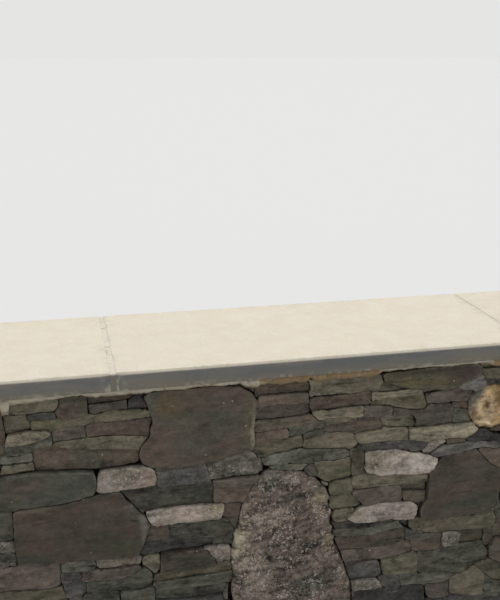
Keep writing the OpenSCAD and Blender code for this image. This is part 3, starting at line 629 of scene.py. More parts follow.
@dataclass(frozen=True)
class StoneFinish:
    """How one kind of stone looks: three shades that run into each other, and what lies on it."""

    shades: tuple[str, str, str]
    accent: str
    worn: str
    crust: str = "9a9a84"
    patch: float = 9.0
    bedding: float = 0.5
    specks: float = 0.0
    lichen: float = 0.25
    wear: float = 0.7
    rough: float = 0.82
    bump: float = 0.6
    light_speck: str = "d9d2c6"
    dark_speck: str = "2b2724"
    dots: float = 0.05
    gain: float = 1.14
    mottle: float = 1.0

    def build(self, shared: SharedEffects, name: str, stains: tuple[Stain, ...] = ()) -> bpy.types.Material:
        """Makes the material.

        Args:
            shared: the shared groups.
            name: the material's name.
            stains: the patches of a large stone.

        Returns:
            The material.
        """
        material, g = new_material(name)
        place = g.out("ShaderNodeTexCoord", at="Object")
        key, tone, rim, recess = (g.attribute(label) for label in ("stone_key", "stone_tone", "rim", "recess"))
        spot = g.vector("ADD", place, g.joined(key * 3.7, key, key * 5.3))
        fine = g.noise(spot, 290.0, 3.0, 0.75)
        bedding = g.group(shared.bedding, Vector=spot)
        base = self.tint(g, spot)
        for stain in stains:
            base = g.group(
                shared.stain, Color=base, Stain=colour(stain.shade), Amount=stain.amount, Vector=place,
                Centre=(stain.x * MM, 0, (stain.z + FOOT) * MM), Size=(stain.wide * MM, 1000.0, stain.high * MM),
            )["Color"]
        mottle = 1.6 * (self.mottle * (0.7 if stains and not self.specks else 1.15))
        medium = g.noise(g.stretch(spot, (0.9, 1.0, 1.3)), 75.0, 5.0, 0.7, 0.3)
        blotch = g.noise(g.vector("ADD", g.stretch(spot, (0.7, 1.0, 1.5)), (1.7, 4.1, 0)), 24.0, 3.0, 0.55, 0.6)
        level = (fine - 0.5) * 1.1 + 1.0 + (medium - 0.5) * mottle + (blotch - 0.5) * mottle
        level = level + (bedding["Streaks"] - 0.5) * (self.bedding * 0.3)
        level = level - bedding["Clefts"] * (self.bedding * 0.6)
        # Painted shade: the colour darkens in patches along the rims, where the rounded arrises turn away from the
        # light.
        level = level - rim * g.window(g.noise(spot, 24.0, 4.0, 0.65), 0.36, 0.62) * 0.2
        base = g.shade(base, g.math("MAXIMUM", level, 0.15) * ((tone * 1.9 + 0.05) * self.gain))
        height = bedding["Height"] * (self.bedding * 1.6) + fine * 0.5 + g.noise(spot, 60.0, 6.0, 0.7)
        pits = g.group(
            shared.dots, Color=base, Dot=colour(self.dark_speck), Amount=0.16, Fineness=130.0, Vector=spot
        )
        height = height - pits["Mask"] * 0.5
        base = g.group(
            shared.dots, Color=pits["Color"], Dot=colour(self.crust), Amount=self.dots, Fineness=85.0,
            Vector=g.vector("ADD", spot, (5.3, 0, 2.9)),
        )["Color"]
        if self.specks:
            specks = g.group(
                shared.specks, Color=base, Light=colour(self.light_speck), Dark=colour(self.dark_speck),
                Amount=self.specks, Vector=spot,
            )
            base = specks["Color"]
            height = height + specks["Height"] * 0.3
        lichen = g.group(shared.lichen, Color=base, Crust=colour(self.crust), Amount=self.lichen, Vector=spot)
        height = height + lichen["Height"] * 0.25
        # Paler edges: partly wear, partly a painted highlight on the arrises.
        base = g.group(
            shared.wear, Color=lichen["Color"], Worn=colour(self.worn), Rim=rim, Amount=self.wear, Vector=spot
        )["Color"]
        # Darker deeper in the joints.
        base = g.group(shared.deep_darkening, Color=base, Recess=recess, Vector=spot)["Color"]
        g.surface(base, self.rough + (fine - 0.5) * 0.2, height, self.bump, 0.004)
        return material

    def tint(self, g: Graph, spot: Value) -> Value:
        """Colours the bare stone: its shades in broad clouds, with accents.

        Args:
            g: the material's graph.
            spot: the place on the stone.

        Returns:
            The colour.
        """
        wide = g.stretch(spot, (0.7, 1.0, 1.5))
        broad = g.window(g.noise(wide, self.patch, 4.0, 0.6, 0.3), 0.36, 0.64)
        cloud = g.window(g.noise(wide, self.patch * 3.1, 5.0, 0.62), 0.40, 0.68)
        apart = g.vector("ADD", wide, (3.1, 0, 7.7))
        accents = g.window(g.noise(apart, self.patch * 1.7, 4.0, 0.6, 0.5), 0.52, 0.68)
        base = g.mix(broad, colour(self.shades[0]), colour(self.shades[1]))
        base = g.mix(cloud * 0.75, base, colour(self.shades[2]))
        return g.mix(accents * 0.7, base, colour(self.accent))


FINISHES: dict[Finish, StoneFinish] = {
    Finish.UMBER: StoneFinish(
        ("5a4e43", "4d4a3f", "5c5046"), "564a40", "7d7468", lichen=0.12, wear=0.55, crust="a8a292",
    ),
    Finish.PURPLE: StoneFinish(
        ("5b5048", "504b43", "625850"), "564a44", "8a7f74", lichen=0.10, wear=0.55, crust="aca398",
    ),
    Finish.OLIVE: StoneFinish(
        ("5f584a", "54513f", "665f50"), "5b5043", "8c8470", lichen=0.2, wear=0.55, crust="a9a48c",
    ),
    Finish.BUFF: StoneFinish(
        ("6d6556", "5c5747", "787161"), "7f7762", "a0967f", lichen=0.25, bedding=0.6, wear=0.6, mottle=1.1,
    ),
    Finish.GREEN: StoneFinish(
        ("54534a", "4b4a3f", "5a594d"), "554e43", "817f72", bedding=0.6, lichen=0.15, rough=0.76, wear=0.5,
        mottle=1.35,
    ),
    Finish.BLUE: StoneFinish(
        ("53514d", "494643", "5e5b52"), "514c44", "87857b", bedding=0.6, lichen=0.15, rough=0.74, wear=0.6,
        mottle=1.35,
    ),
    Finish.DARK: StoneFinish(
        ("4f4a43", "44413a", "59534a"), "48483e", "6a655b", lichen=0.05, wear=0.6, crust="85806f", mottle=2.6,
        dots=0.12,
    ),
    Finish.CREAM: StoneFinish(
        ("726c61", "5e5a50", "857e72"), "4b473e", "a8a192", specks=0.8, lichen=0.45, crust="aaa395", bedding=0.2,
        bump=0.8, light_speck="bdb6aa", dark_speck="3c3832", mottle=1.3,
    ),
    Finish.PALE: StoneFinish(
        ("998c80", "83796c", "aa9d91"), "6f695b", "c4bab0", specks=0.55, lichen=0.35, crust="6f6a5a", bedding=0.15,
        bump=0.9, light_speck="cfc5ba", dark_speck="6c6157", dots=0.06, mottle=1.1,
    ),
    Finish.TAN: StoneFinish(
        ("b8986f", "a07f5a", "c9ae88"), "7d6b4e", "d2c0a0", specks=0.3, lichen=0.3, crust="77705a", bedding=0.1,
        bump=0.7, light_speck="d8c6a6", dark_speck="5f4630", mottle=1.2,
    ),
    Finish.BOULDER: StoneFinish(
        ("66594f", "574c45", "73665c"), "4f4a42", "98907f", specks=1.0, lichen=0.45, crust="857b6a", bedding=0.0,
        bump=1.0, light_speck="c6baab", dark_speck="3d3631", patch=7.0, mottle=2.1,
    ),
}


@dataclass(frozen=True)
class Relief:
    """How the face of a stone is broken, in millimetres."""

    arris: float
    dome: float
    swell: float
    ledge: float
    pitch: float
    grit: float


RELIEFS: dict[Finish, Relief] = {
    Finish.UMBER: Relief(1.3, 0.5, 3.0, 1.6, 13.0, 0.8),
    Finish.PURPLE: Relief(1.3, 0.5, 3.0, 1.6, 12.0, 0.8),
    Finish.OLIVE: Relief(1.3, 0.5, 3.0, 1.8, 12.0, 0.8),
    Finish.BUFF: Relief(1.5, 0.6, 3.0, 2.4, 10.0, 0.9),
    Finish.GREEN: Relief(1.1, 0.3, 2.0, 1.8, 9.0, 0.6),
    Finish.BLUE: Relief(1.1, 0.3, 2.0, 1.8, 9.0, 0.6),
    Finish.DARK: Relief(1.1, 0.3, 2.0, 1.5, 9.0, 0.5),
    Finish.CREAM: Relief(2.2, 1.4, 4.0, 0.8, 16.0, 1.6),
    Finish.PALE: Relief(2.6, 1.6, 4.5, 1.0, 18.0, 1.8),
    Finish.TAN: Relief(22.0, 12.0, 2.5, 0.0, 20.0, 0.8),
    Finish.BOULDER: Relief(14.0, 8.0, 6.0, 0.0, 20.0, 2.4),
}


def spread(values: np.ndarray, pitch: float, seed: float) -> np.ndarray:
    """Returns smooth noise from -1 to 1 at points on a face.

    Args:
        values: points, two columns, in mm.
        pitch: the size of a lump, in mm, or a pair of sizes.
        seed: moves the noise to another place.

    Returns:
        One value for each point.
    """
    px, pz = pitch if isinstance(pitch, tuple) else (pitch, pitch)
    return np.array([noise.noise(Vector((x / px, z / pz, seed))) for x, z in values])


def area_of(loop: np.ndarray) -> float:
    """Returns the signed area of a loop: positive where it turns anticlockwise."""
    x, z = loop[:, 0], loop[:, 1]
    return float(np.sum(x * np.roll(z, -1) - np.roll(x, -1) * z) / 2)


def anticlockwise(loop: np.ndarray) -> np.ndarray:
    """Returns the loop turned anticlockwise."""
    return loop if area_of(loop) > 0 else loop[::-1].copy()


def unroll(loop: np.ndarray) -> tuple[np.ndarray, np.ndarray]:
    """Returns a loop with its first point again at its end, and how far along it each point is."""
    closed = np.vstack([loop, loop[:1]])
    return closed, np.concatenate([[0], np.cumsum(np.linalg.norm(np.diff(closed, axis=0), axis=1))])


def points_at(closed: np.ndarray, along: np.ndarray, at: np.ndarray) -> np.ndarray:
    """Returns the points of an unrolled loop that are some distances along it."""
    return np.stack([np.interp(at, along, closed[:, k]) for k in (0, 1)], 1)


def corners_of(closed: np.ndarray, along: np.ndarray, reach: float = 6.0, least: float = 0.62) -> list[int]:
    """Finds the sharp corners of an unrolled loop.

    Args:
        closed: the loop, in mm, with its first point again at its end.
        along: how far along the loop each point is.
        reach: how far before and after a point its turn is measured.
        least: the smallest turn of a corner, in radians.

    Returns:
        The numbers of the corner points, in their order.
    """
    here, total = along[:-1], along[-1]
    back, ahead = (points_at(closed, along, np.mod(here + way, total)) - closed[:-1] for way in (-reach, reach))
    sizes = np.maximum(np.linalg.norm(back, axis=1) * np.linalg.norm(ahead, axis=1), 1e-9)
    turn = np.arccos(np.clip(-(back * ahead).sum(1) / sizes, -1, 1))
    picked: list[int] = []
    for k in np.argsort(-turn):
        if turn[k] < least:
            break
        gaps = np.abs(here[picked] - here[k])
        if not picked or np.minimum(gaps, total - gaps).min() > reach * 0.9:
            picked.append(int(k))
    return sorted(picked)


def resample(loop: np.ndarray, spacing: float) -> np.ndarray:
    """Spaces points evenly along a closed loop, with its sharp corners kept.

    Args:
        loop: the loop, in mm.
        spacing: the distance between its new points.

    Returns:
        The new loop.
    """
    closed, along = unroll(loop)
    stops = [float(along[k]) for k in corners_of(closed, along)] or [0.0]
    at = []
    for start, end in zip(stops, stops[1:] + [stops[0] + float(along[-1])]):
        at.append(np.linspace(start, end, max(2, int(round((end - start) / spacing))), endpoint=False))
    return points_at(closed, along, np.mod(np.concatenate(at), along[-1]))


def break_corners(loop: np.ndarray, reach: float, rng: np.random.Generator) -> np.ndarray:
    """Breaks off the sharp corners of a loop.

    Args:
        loop: the loop, in mm.
        reach: the most that a corner loses.
        rng: draws how much each loses.

    Returns:
        The loop without those points.
    """
    closed, along = unroll(loop)
    keep = np.ones(len(loop), bool)
    for corner in corners_of(closed, along):
        gap = np.abs(along[:-1] - along[corner])
        keep &= np.minimum(gap, along[-1] - gap) >= reach * rng.random() ** 2
    return loop[keep]


def normals_of(ways: np.ndarray) -> np.ndarray:
    """Returns the outward unit normals of ways along an anticlockwise loop."""
    ways = ways / np.maximum(np.linalg.norm(ways, axis=1, keepdims=True), 1e-9)
    return np.stack([ways[:, 1], -ways[:, 0]], 1)


def outward(loop: np.ndarray) -> np.ndarray:
    """Returns the outward normal at each point of an anticlockwise loop."""
    return normals_of(np.roll(loop, -1, 0) - np.roll(loop, 1, 0))


def grow(loop: np.ndarray, by: float) -> np.ndarray:
    """Moves the edges of an anticlockwise loop outwards by a small distance.

    Args:
        loop: the loop, in mm.
        by: the distance.

    Returns:
        The larger loop.
    """
    after = normals_of(np.roll(loop, -1, 0) - loop)
    before = np.roll(after, 1, 0)
    return loop + (before + after) / np.maximum(1 + (before * after).sum(1, keepdims=True), 0.45) * by


def distances(points: np.ndarray, loop: np.ndarray) -> np.ndarray:
    """Measures how far points are from a closed loop, to a tenth of a millimetre.

    Args:
        points: the points.
        loop: the loop.

    Returns:
        One distance for each point.
    """
    closed, along = unroll(loop)
    ring = points_at(closed, along, np.linspace(0, along[-1], int(along[-1] / 0.6) + 3))
    tree = kdtree.KDTree(len(ring))
    for number, (x, z) in enumerate(ring):
        tree.insert((x, z, 0.0), number)
    tree.balance()
    return np.array([tree.find((x, z, 0.0))[2] for x, z in points])


def inside(points: np.ndarray, loop: np.ndarray) -> np.ndarray:
    """Finds which points lie within a closed loop.

    Args:
        points: the points.
        loop: the loop.

    Returns:
        True or false for each point.
    """
    a, b = loop, np.roll(loop, -1, 0)
    x, z = points[:, 0][:, None], points[:, 1][:, None]
    spans = (a[:, 1] > z) != (b[:, 1] > z)
    with np.errstate(divide="ignore", invalid="ignore"):
        cross = a[:, 0] + (z - a[:, 1]) * (b[:, 0] - a[:, 0]) / (b[:, 1] - a[:, 1])
    return (np.sum(spans & (x < cross), axis=1) % 2) == 1


def shrink(loop: np.ndarray, by: float) -> np.ndarray | None:
    """Moves a loop inwards and drops what crosses itself.

    Args:
        loop: an anticlockwise loop, in mm.
        by: the distance.

    Returns:
        The smaller loop, or None where nothing is left of it.
    """
    dense = resample(loop, 3.5)
    moved = grow(dense, -by)
    moved = moved[(distances(moved, dense) > by * 0.86) & inside(moved, dense)]
    return moved if len(moved) >= 6 and area_of(moved) >= 60 else None


def ring_pairs(count: int, first: int = 0) -> list[tuple[int, int]]:
    """Returns the edges of a closed ring of points, as pairs of numbers."""
    return [(first + k, first + (k + 1) % count) for k in range(count)]


def triangulate(points: np.ndarray, edges: list[tuple[int, int]], kind: int, fuzz: float) -> tuple:
    """Fills outlines with triangles.

    Args:
        points: points, two columns, in mm.
        edges: the edges of the outlines.
        kind: 0 for triangles all over the hull, 1 for those inside the outlines.
        fuzz: how near points are joined, in mm.

    Returns:
        The points, the triangles and what points each point comes from.
    """
    flat = [Vector((float(x), float(z))) for x, z in points]
    verts, _, tris, origins, _, _ = geometry.delaunay_2d_cdt(flat, edges, [], kind, fuzz)
    return np.array([(v.x, v.y) for v in verts]), [tuple(t) for t in tris if len(t) == 3], origins


def chain_loops(triangles: Iterable[tuple[int, ...]]) -> list[list[int]]:
    """Finds the outlines of a set of triangles.

    Args:
        triangles: anticlockwise triangles, as vertex numbers.

    Returns:
        Each outline, as vertex numbers.
    """
    edges = set()
    for tri in triangles:
        for k in range(len(tri)):
            a, b = tri[k], tri[(k + 1) % len(tri)]
            if (b, a) in edges:
                edges.remove((b, a))
            else:
                edges.add((a, b))
    following: dict[int, list[int]] = {}
    for a, b in sorted(edges):
        following.setdefault(a, []).append(b)
    loops = []
    while following:
        walk = [next(iter(following))]
        while walk:
            ahead = following.get(walk[-1])
            if not ahead:
                walk.pop()
                continue
            step = ahead.pop()
            if not ahead:
                del following[walk[-1]]
            if step in walk:
                first = walk.index(step)
                if len(walk) - first > 2:
                    loops.append(walk[first:])
                del walk[first + 1 :]
            else:
                walk.append(step)
    return loops


def share_out(claims: list[tuple[int, np.ndarray]]) -> list[tuple[int, np.ndarray]]:
    """Shares the face out: where outlines overlap, the earlier claim keeps the place.

    Args:
        claims: a stone's number and an outline that it claims, the strongest claim first.

    Returns:
        Pairs of a stone's number and what it keeps, one pair for each separate bit.
    """
    edges: list[tuple[int, int]] = []
    first = 0
    for _, loop in claims:
        edges += ring_pairs(len(loop), first)
        first += len(loop)
    flat, tris, _ = triangulate(np.vstack([loop for _, loop in claims]), edges, 0, 1e-3)
    corners = np.array(tris)
    middles = flat[corners].mean(1)
    owner = np.full(len(corners), -1)
    for number, loop in claims:
        within = ((middles > loop.min(0)) & (middles < loop.max(0))).all(1)
        free = np.flatnonzero(within & (owner < 0))
        owner[free[inside(middles[free], loop)]] = number
    bits = []
    for number in range(owner.max() + 1):
        shapes = [flat[ring] for ring in chain_loops(corners[owner == number].tolist())]
        bits += [(number, shape) for shape in shapes if area_of(shape) > LEAST_BIT]
    return bits


def largest_part(loop: np.ndarray) -> np.ndarray | None:
    """Returns the largest simple part of an outline that may cross itself."""
    parts = [shape for _, shape in share_out([(0, loop)])]
    return max(parts, key=area_of) if parts else None


@dataclass
class Stone:
    """One stone of the face, before it is cut."""

    outline: np.ndarray
    finish: Finish
    tone: float
    proud: float = 0.0
    key: float = 0.0
    bay: int = 0
    depth: float = 80.0
    spacing: float = 11.0
    name: str = ""


@dataclass
class Shell:
    """A cut stone: a closed mesh in millimetres, with what its finish reads."""

    points: np.ndarray
    faces: list[tuple[int, ...]]
    rim: np.ndarray
    recess: np.ndarray
    stone: Stone


@dataclass
class StoneCutter:
    """Cuts stones with a broken face, worn arrises and closed sides."""

    half: float
    draws: tuple[float, ...] = (0.3, 2.0, 7.0)
    rims: tuple[float, ...] = (1.0, 0.2, 0.0)

    def weather(self, stone: Stone, amount: float) -> np.ndarray:
        """Wears a stone's corners and breaks its edges.

        Args:
            stone: the stone.
            amount: how much, up to 1.

        Returns:
            The stone's new outline.
        """
        arris = RELIEFS[stone.finish].arris
        rng = np.random.default_rng(int(stone.key * 1000) + 17)
        reach = min(9.0, 1.5 + arris * 1.5, min(np.ptp(stone.outline, axis=0)) * 0.16)
        loop = resample(break_corners(stone.outline, reach * amount, rng), stone.spacing * 0.95)
        seed = stone.key * 7.7
        rough = 0.55 + 0.05 * arris
        ripple = spread(loop, 24.0, seed) * rough * 1.6 + spread(loop, 8.0, seed + 9.0) * rough
        chips = np.maximum(spread(loop, 12.0, seed + 3.0) - 0.36, 0) * 8.0
        loop = loop + outward(loop) * (ripple - chips)[:, None] * amount
        return np.column_stack([loop[:, 0], np.maximum(loop[:, 1], LOWEST)])

    def face_points(self, loop: np.ndarray, spacing: float, seed: int) -> np.ndarray:
        """Places the points inside the outline that carry the face's relief.

        Args:
            loop: the outline.
            spacing: the distance between points.
            seed: stirs them.

        Returns:
            The points.
        """
        low, high = loop.min(0), loop.max(0)
        xs = np.arange(low[0] + spacing / 2, high[0], spacing)
        zs = np.arange(low[1] + spacing / 2, high[1], spacing * 0.87)
        grid = np.array([(x + (k % 2) * spacing / 2, z) for k, z in enumerate(zs) for x in xs])
        inner = []
        if len(grid):
            rng = np.random.default_rng(seed)
            grid = grid + rng.uniform(-0.22, 0.22, grid.shape) * spacing
            grid = grid[inside(grid, loop)]
            inner.append(grid[distances(grid, loop) > spacing * 0.8])
        for step in (min(1.6, spacing * 0.3), min(4.2, spacing * 0.55)):
            ring = loop - outward(loop) * step
            keep = inside(ring, loop)
            keep[keep] &= distances(ring[keep], loop) > step * 0.8
            inner.append(ring[keep])
        return np.vstack(inner)

    def relief(self, points: np.ndarray, away: np.ndarray, stone: Stone) -> np.ndarray:
        """Shapes the face: dome, swells, ledges, grit and worn arris.

        Args:
            points: points on the face.
            away: their distances from its edge.
            stone: the stone.

        Returns:
            How far the face stands out at each point, in mm.
        """
        shape = RELIEFS[stone.finish]
        seed = stone.key * 3.1
        low, high = stone.outline.min(0), stone.outline.max(0)
        size = np.maximum(high - low, 1.0)
        thick = min(size)
        rng = np.random.default_rng(int(stone.key * 1000) + 5)
        lean = rng.uniform(-1, 1, 2) * np.minimum(size * 0.03, (3.0, 2.5))
        height = ((points - (low + high) / 2) / size) @ lean
        height += shape.dome * (1 - np.exp(-away / max(6.0, thick * 0.22))) - shape.dome * 0.6
        height += spread(points, (70.0, 46.0), seed) * shape.swell * min(1.0, thick / 60 + 0.35)
        height += spread(points, (26.0, 15.0), seed + 4) * shape.swell * 0.35
        if shape.ledge:
            strong = shape.ledge * (2.7 if thick < 90 else 1.2)
            level = (points[:, 1] + 5 * spread(points, (85.0, 60.0), seed + 8)) / shape.pitch + stone.key
            floor = np.floor(level)
            part = np.clip((level - floor - 0.72) / 0.28, 0, 1)
            step, after = (
                np.array([noise.noise(Vector(((f + k) * 3.3, seed, x / 140))) for f, x in zip(floor, points[:, 0])])
                for k in (0, 1)
            )
            height += strong * (step + (after - step) * part * part * (3 - 2 * part))
        height += spread(points, (9.0, 7.0), seed + 2) * shape.grit
        radius = shape.arris * (1 + 0.6 * spread(points, 14.0, seed + 6))
        if shape.arris < 3:
            radius += np.maximum(spread(points, 24.0, seed + 7) - 0.28, 0) * 13.0
        radius = np.minimum(radius, thick * 0.42)
        t = np.clip(away / np.maximum(radius, 0.5), 0, 1)
        return height - np.minimum(radius * 0.75, 12.0) * (1 - np.sqrt(1 - (1 - t) ** 2))

    def cut(self, stone: Stone) -> Shell | None:
        """Cuts one stone.

        Args:
            stone: what to cut.

        Returns:
            The closed shell, or None where the outline is too small.
        """
        for amount in (1.0, 0.5, 0.0):
            loop = largest_part(self.weather(stone, amount))
            shell = self.attempt(stone, loop) if loop is not None else None
            if shell:
                return shell
        LOG.info("left out a stone at %d, %d mm", *stone.outline.mean(0))
        return None

    def attempt(self, stone: Stone, loop: np.ndarray) -> Shell | None:
        """Cuts a stone along an outline.

        Args:
            stone: the stone.
            loop: the outline.

        Returns:
            The closed shell, or None where the outline crosses itself.
        """
        if area_of(loop) < LEAST_STONE:
            return None
        inner = self.face_points(loop, stone.spacing, int(stone.key * 977))
        flat, tris, _ = triangulate(np.vstack([loop, inner]), ring_pairs(len(loop)), 1, 1e-4)
        loops = chain_loops(tris)
        if len(loops) != 1 or len(set(loops[0])) != len(loops[0]):
            return None
        used = sorted({k for t in tris for k in t})
        number = {k: i for i, k in enumerate(used)}
        flat = flat[used]
        border = [number[k] for k in loops[0]]
        edge = flat[border]
        away = distances(flat, edge)
        height = self.relief(flat, away, stone)
        front = -(self.half + stone.proud)
        points = [np.column_stack([flat[:, 0], front - height, flat[:, 1]])]
        rim = [np.clip(1 - away / 5.5, 0, 1)]
        recess = [np.zeros(len(flat))]
        faces = [tuple(number[k] for k in t) for t in tris]
        normal = outward(edge)
        count = len(edge)
        previous = border
        deep = stone.depth > 50
        reaches = (7.0, 26.0, stone.depth) if deep else (7.0, stone.depth)
        deep_darkenings = (0.16, 0.72, 1.0) if deep else (0.16, 1.0)
        for step, (reach, draw, pale, deep_darkening) in enumerate(zip(reaches, self.draws, self.rims, deep_darkenings)):
            ring = edge - normal * draw
            ring[:, 1] = np.maximum(ring[:, 1], LOWEST)
            points.append(np.column_stack([ring[:, 0], front + reach + height[border] * -0.3, ring[:, 1]]))
            rim.append(np.full(count, pale))
            recess.append(np.full(count, deep_darkening))
            here = list(range(len(flat) + count * step, len(flat) + count * (step + 1)))
            faces += [(previous[n], previous[k], here[k], here[n]) for k, n in ring_pairs(count)]
            previous = here
        faces += self.back_of(edge, previous)
        return Shell(np.vstack(points), faces, np.concatenate(rim), np.concatenate(recess), stone)

    def back_of(self, loop: np.ndarray, numbers: list[int]) -> list[tuple[int, ...]]:
        """Closes the back of a stone.

        Args:
            loop: the outline.
            numbers: the numbers of its points in the shell.

        Returns:
            The faces.
        """
        flat, tris, origins = triangulate(loop, ring_pairs(len(loop)), 1, 1e-6)
        if len(flat) == len(loop) and all(len(o) == 1 for o in origins):
            return [tuple(numbers[origins[k][0]] for k in reversed(t)) for t in tris]
        return [tuple(reversed(numbers))]


def link(obj: bpy.types.Object) -> bpy.types.Object:
    """Puts an object into the scene."""
    bpy.context.scene.collection.objects.link(obj)
    return obj


def new_mesh(name: str, points: np.ndarray, faces: list, **values: Iterable[float]) -> bpy.types.Mesh:
    """Returns a smooth mesh with attributes.

    Args:
        name: the mesh's name.
        points: its points, in mm.
        faces: its faces, as point numbers.
        values: a value for each point, by the attribute's name.

    Returns:
        The mesh.
    """
    mesh = bpy.data.meshes.new(name)
    mesh.from_pydata((np.asarray(points, float) * MM).tolist(), [], faces)
    mesh.polygons.foreach_set("use_smooth", [True] * len(faces))
    for label, data in values.items():
        target = mesh.attributes.new(label, "FLOAT", "POINT").data
        target.foreach_set("value", np.asarray(data, np.float32))
    return mesh


@dataclass
class Heap:
    """Shells that are put together as one piece, on one face of the wall."""

    name: str
    side: Side
    materials: dict[Finish, bpy.types.Material]
    shells: list[Shell] = field(default_factory=list)

    def build(self, nodes: Iterable[str], slot: str) -> None:
        """Makes the piece and places it.

        Args:
            nodes: the solids that it stands for.
            slot: the record's material slot.
        """
        stones = [s.stone for s in self.shells]
        finishes = sorted({s.finish for s in stones}, key=lambda f: f.value)
        faces, slots, total = [], [], 0
        for shell in self.shells:
            faces += [tuple(k + total for k in f) for f in shell.faces]
            slots += [finishes.index(shell.stone.finish)] * len(shell.faces)
            total += len(shell.points)
        counts = [len(s.points) for s in self.shells]
        points = np.vstack([s.points for s in self.shells]) * (self.side.value, self.side.value, 1)
        mesh = new_mesh(
            self.name, points, faces,
            rim=np.concatenate([s.rim for s in self.shells]),
            recess=np.concatenate([s.recess for s in self.shells]),
            stone_key=np.repeat([s.key for s in stones], counts),
            stone_tone=np.repeat([s.tone for s in stones], counts),
        )
        for finish in finishes:
            mesh.materials.append(self.materials[finish])
        mesh.polygons.foreach_set("material_index", slots)
        mesh.validate()
        mesh.update()
        mesh.set_sharp_from_angle(angle=CREASE)
        place(bpy.data.objects.new(self.name, mesh), nodes, slot)


def place(obj: bpy.types.Object, nodes: Iterable[str], slot: str) -> None:
    """Links a piece, lets it ride on the wall and hides the solids that it stands for.

    Args:
        obj: the piece.
        nodes: the solids that it stands for.
        slot: the record's material slot; not used.
    """
    if obj.name not in bpy.context.scene.collection.objects:
        link(obj)
    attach(obj, "root")
    nodes = list(nodes)
    if nodes:
        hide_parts(*nodes)
    LOG.info("%s: %d faces", obj.name, len(obj.data.polygons))


@dataclass
class WallSizes:
    """The wall's sizes in mm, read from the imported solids."""

    left: float = 0.0
    right: float = 0.0
    half: float = 0.0
    top: float = 0.0
    bay: float = 0.0
    coping_bottom: float = 0.0

    @classmethod
    def read(cls) -> "WallSizes":
        """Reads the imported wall.

        Returns:
            Its sizes.
        """
        low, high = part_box("back_masonry_3")
        first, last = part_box("coping_slab_1")[0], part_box("coping_slab_5")[1]
        return cls(
            left=first.x / MM, right=last.x / MM, half=high.y / MM, top=high.z / MM,
            bay=(high.x - low.x) / MM, coping_bottom=first.z / MM,
        )

    def bay_at(self, x: float) -> int:
        """Returns the number of the bay at x, from 1 to 5."""
        return int(min(5, max(1, math.floor((x - self.left) / self.bay) + 1)))


def node_mesh(node: str) -> tuple[bpy.types.Mesh, np.ndarray]:
    """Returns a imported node's mesh and its points in mm."""
    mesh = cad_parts[node].data
    return mesh, np.array([v.co for v in mesh.vertices]) / MM


def solid_outlines(node: str, side: Side) -> list[np.ndarray]:
    """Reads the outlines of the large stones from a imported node.

    Args:
        node: the node's name.
        side: the face of the wall that it is on.

    Returns:
        One outline in mm for each solid, anticlockwise as seen from outside.
    """
    mesh, co = node_mesh(node)
    co[:, :2] *= side.value
    deep = co[:, 1].max()
    keys: dict[tuple[float, float], int] = {}
    tris = []
    for face in mesh.polygons:
        ids = list(face.vertices)
        if all(abs(co[k, 1] - deep) < 0.05 for k in ids):
            tris.append(tuple(keys.setdefault((round(co[k, 0], 1), round(co[k, 2], 1)), len(keys)) for k in ids))
    flat = np.array(list(keys))
    turned = [tri if area_of(flat[list(tri)]) > 0 else tri[::-1] for tri in tris]
    return [anticlockwise(flat[loop]) for loop in chain_loops(turned)]


def quoin_boxes(node: str) -> list[tuple[float, float, float, float]]:
    """Reads the corner blocks of an end.

    Args:
        node: the node's name.

    Returns:
        A box x0, x1, z0, z1 in mm for each, from the ground up.
    """
    _, co = node_mesh(node)
    levels = sorted({round(z, 1) for z in co[:, 2]})
    outer = co[:, 0].min() if co[:, 0].min() < 0 else co[:, 0].max()
    boxes = []
    for low, high in zip(levels, levels[1:]):
        ends = [{round(x, 1) for x, _, z in co if abs(z - at) < 0.2 and abs(x - outer) > 1} for at in (low, high)]
        shared = sorted(ends[0] & ends[1], key=abs)
        inner = shared[0]
        if len(shared) > 1 and boxes:
            last = boxes[-1][0] if outer > 0 else boxes[-1][1]
            inner = next(x for x in shared if abs(x - last) > 1)
        boxes.append((min(inner, outer), max(inner, outer), low, high))
    return boxes


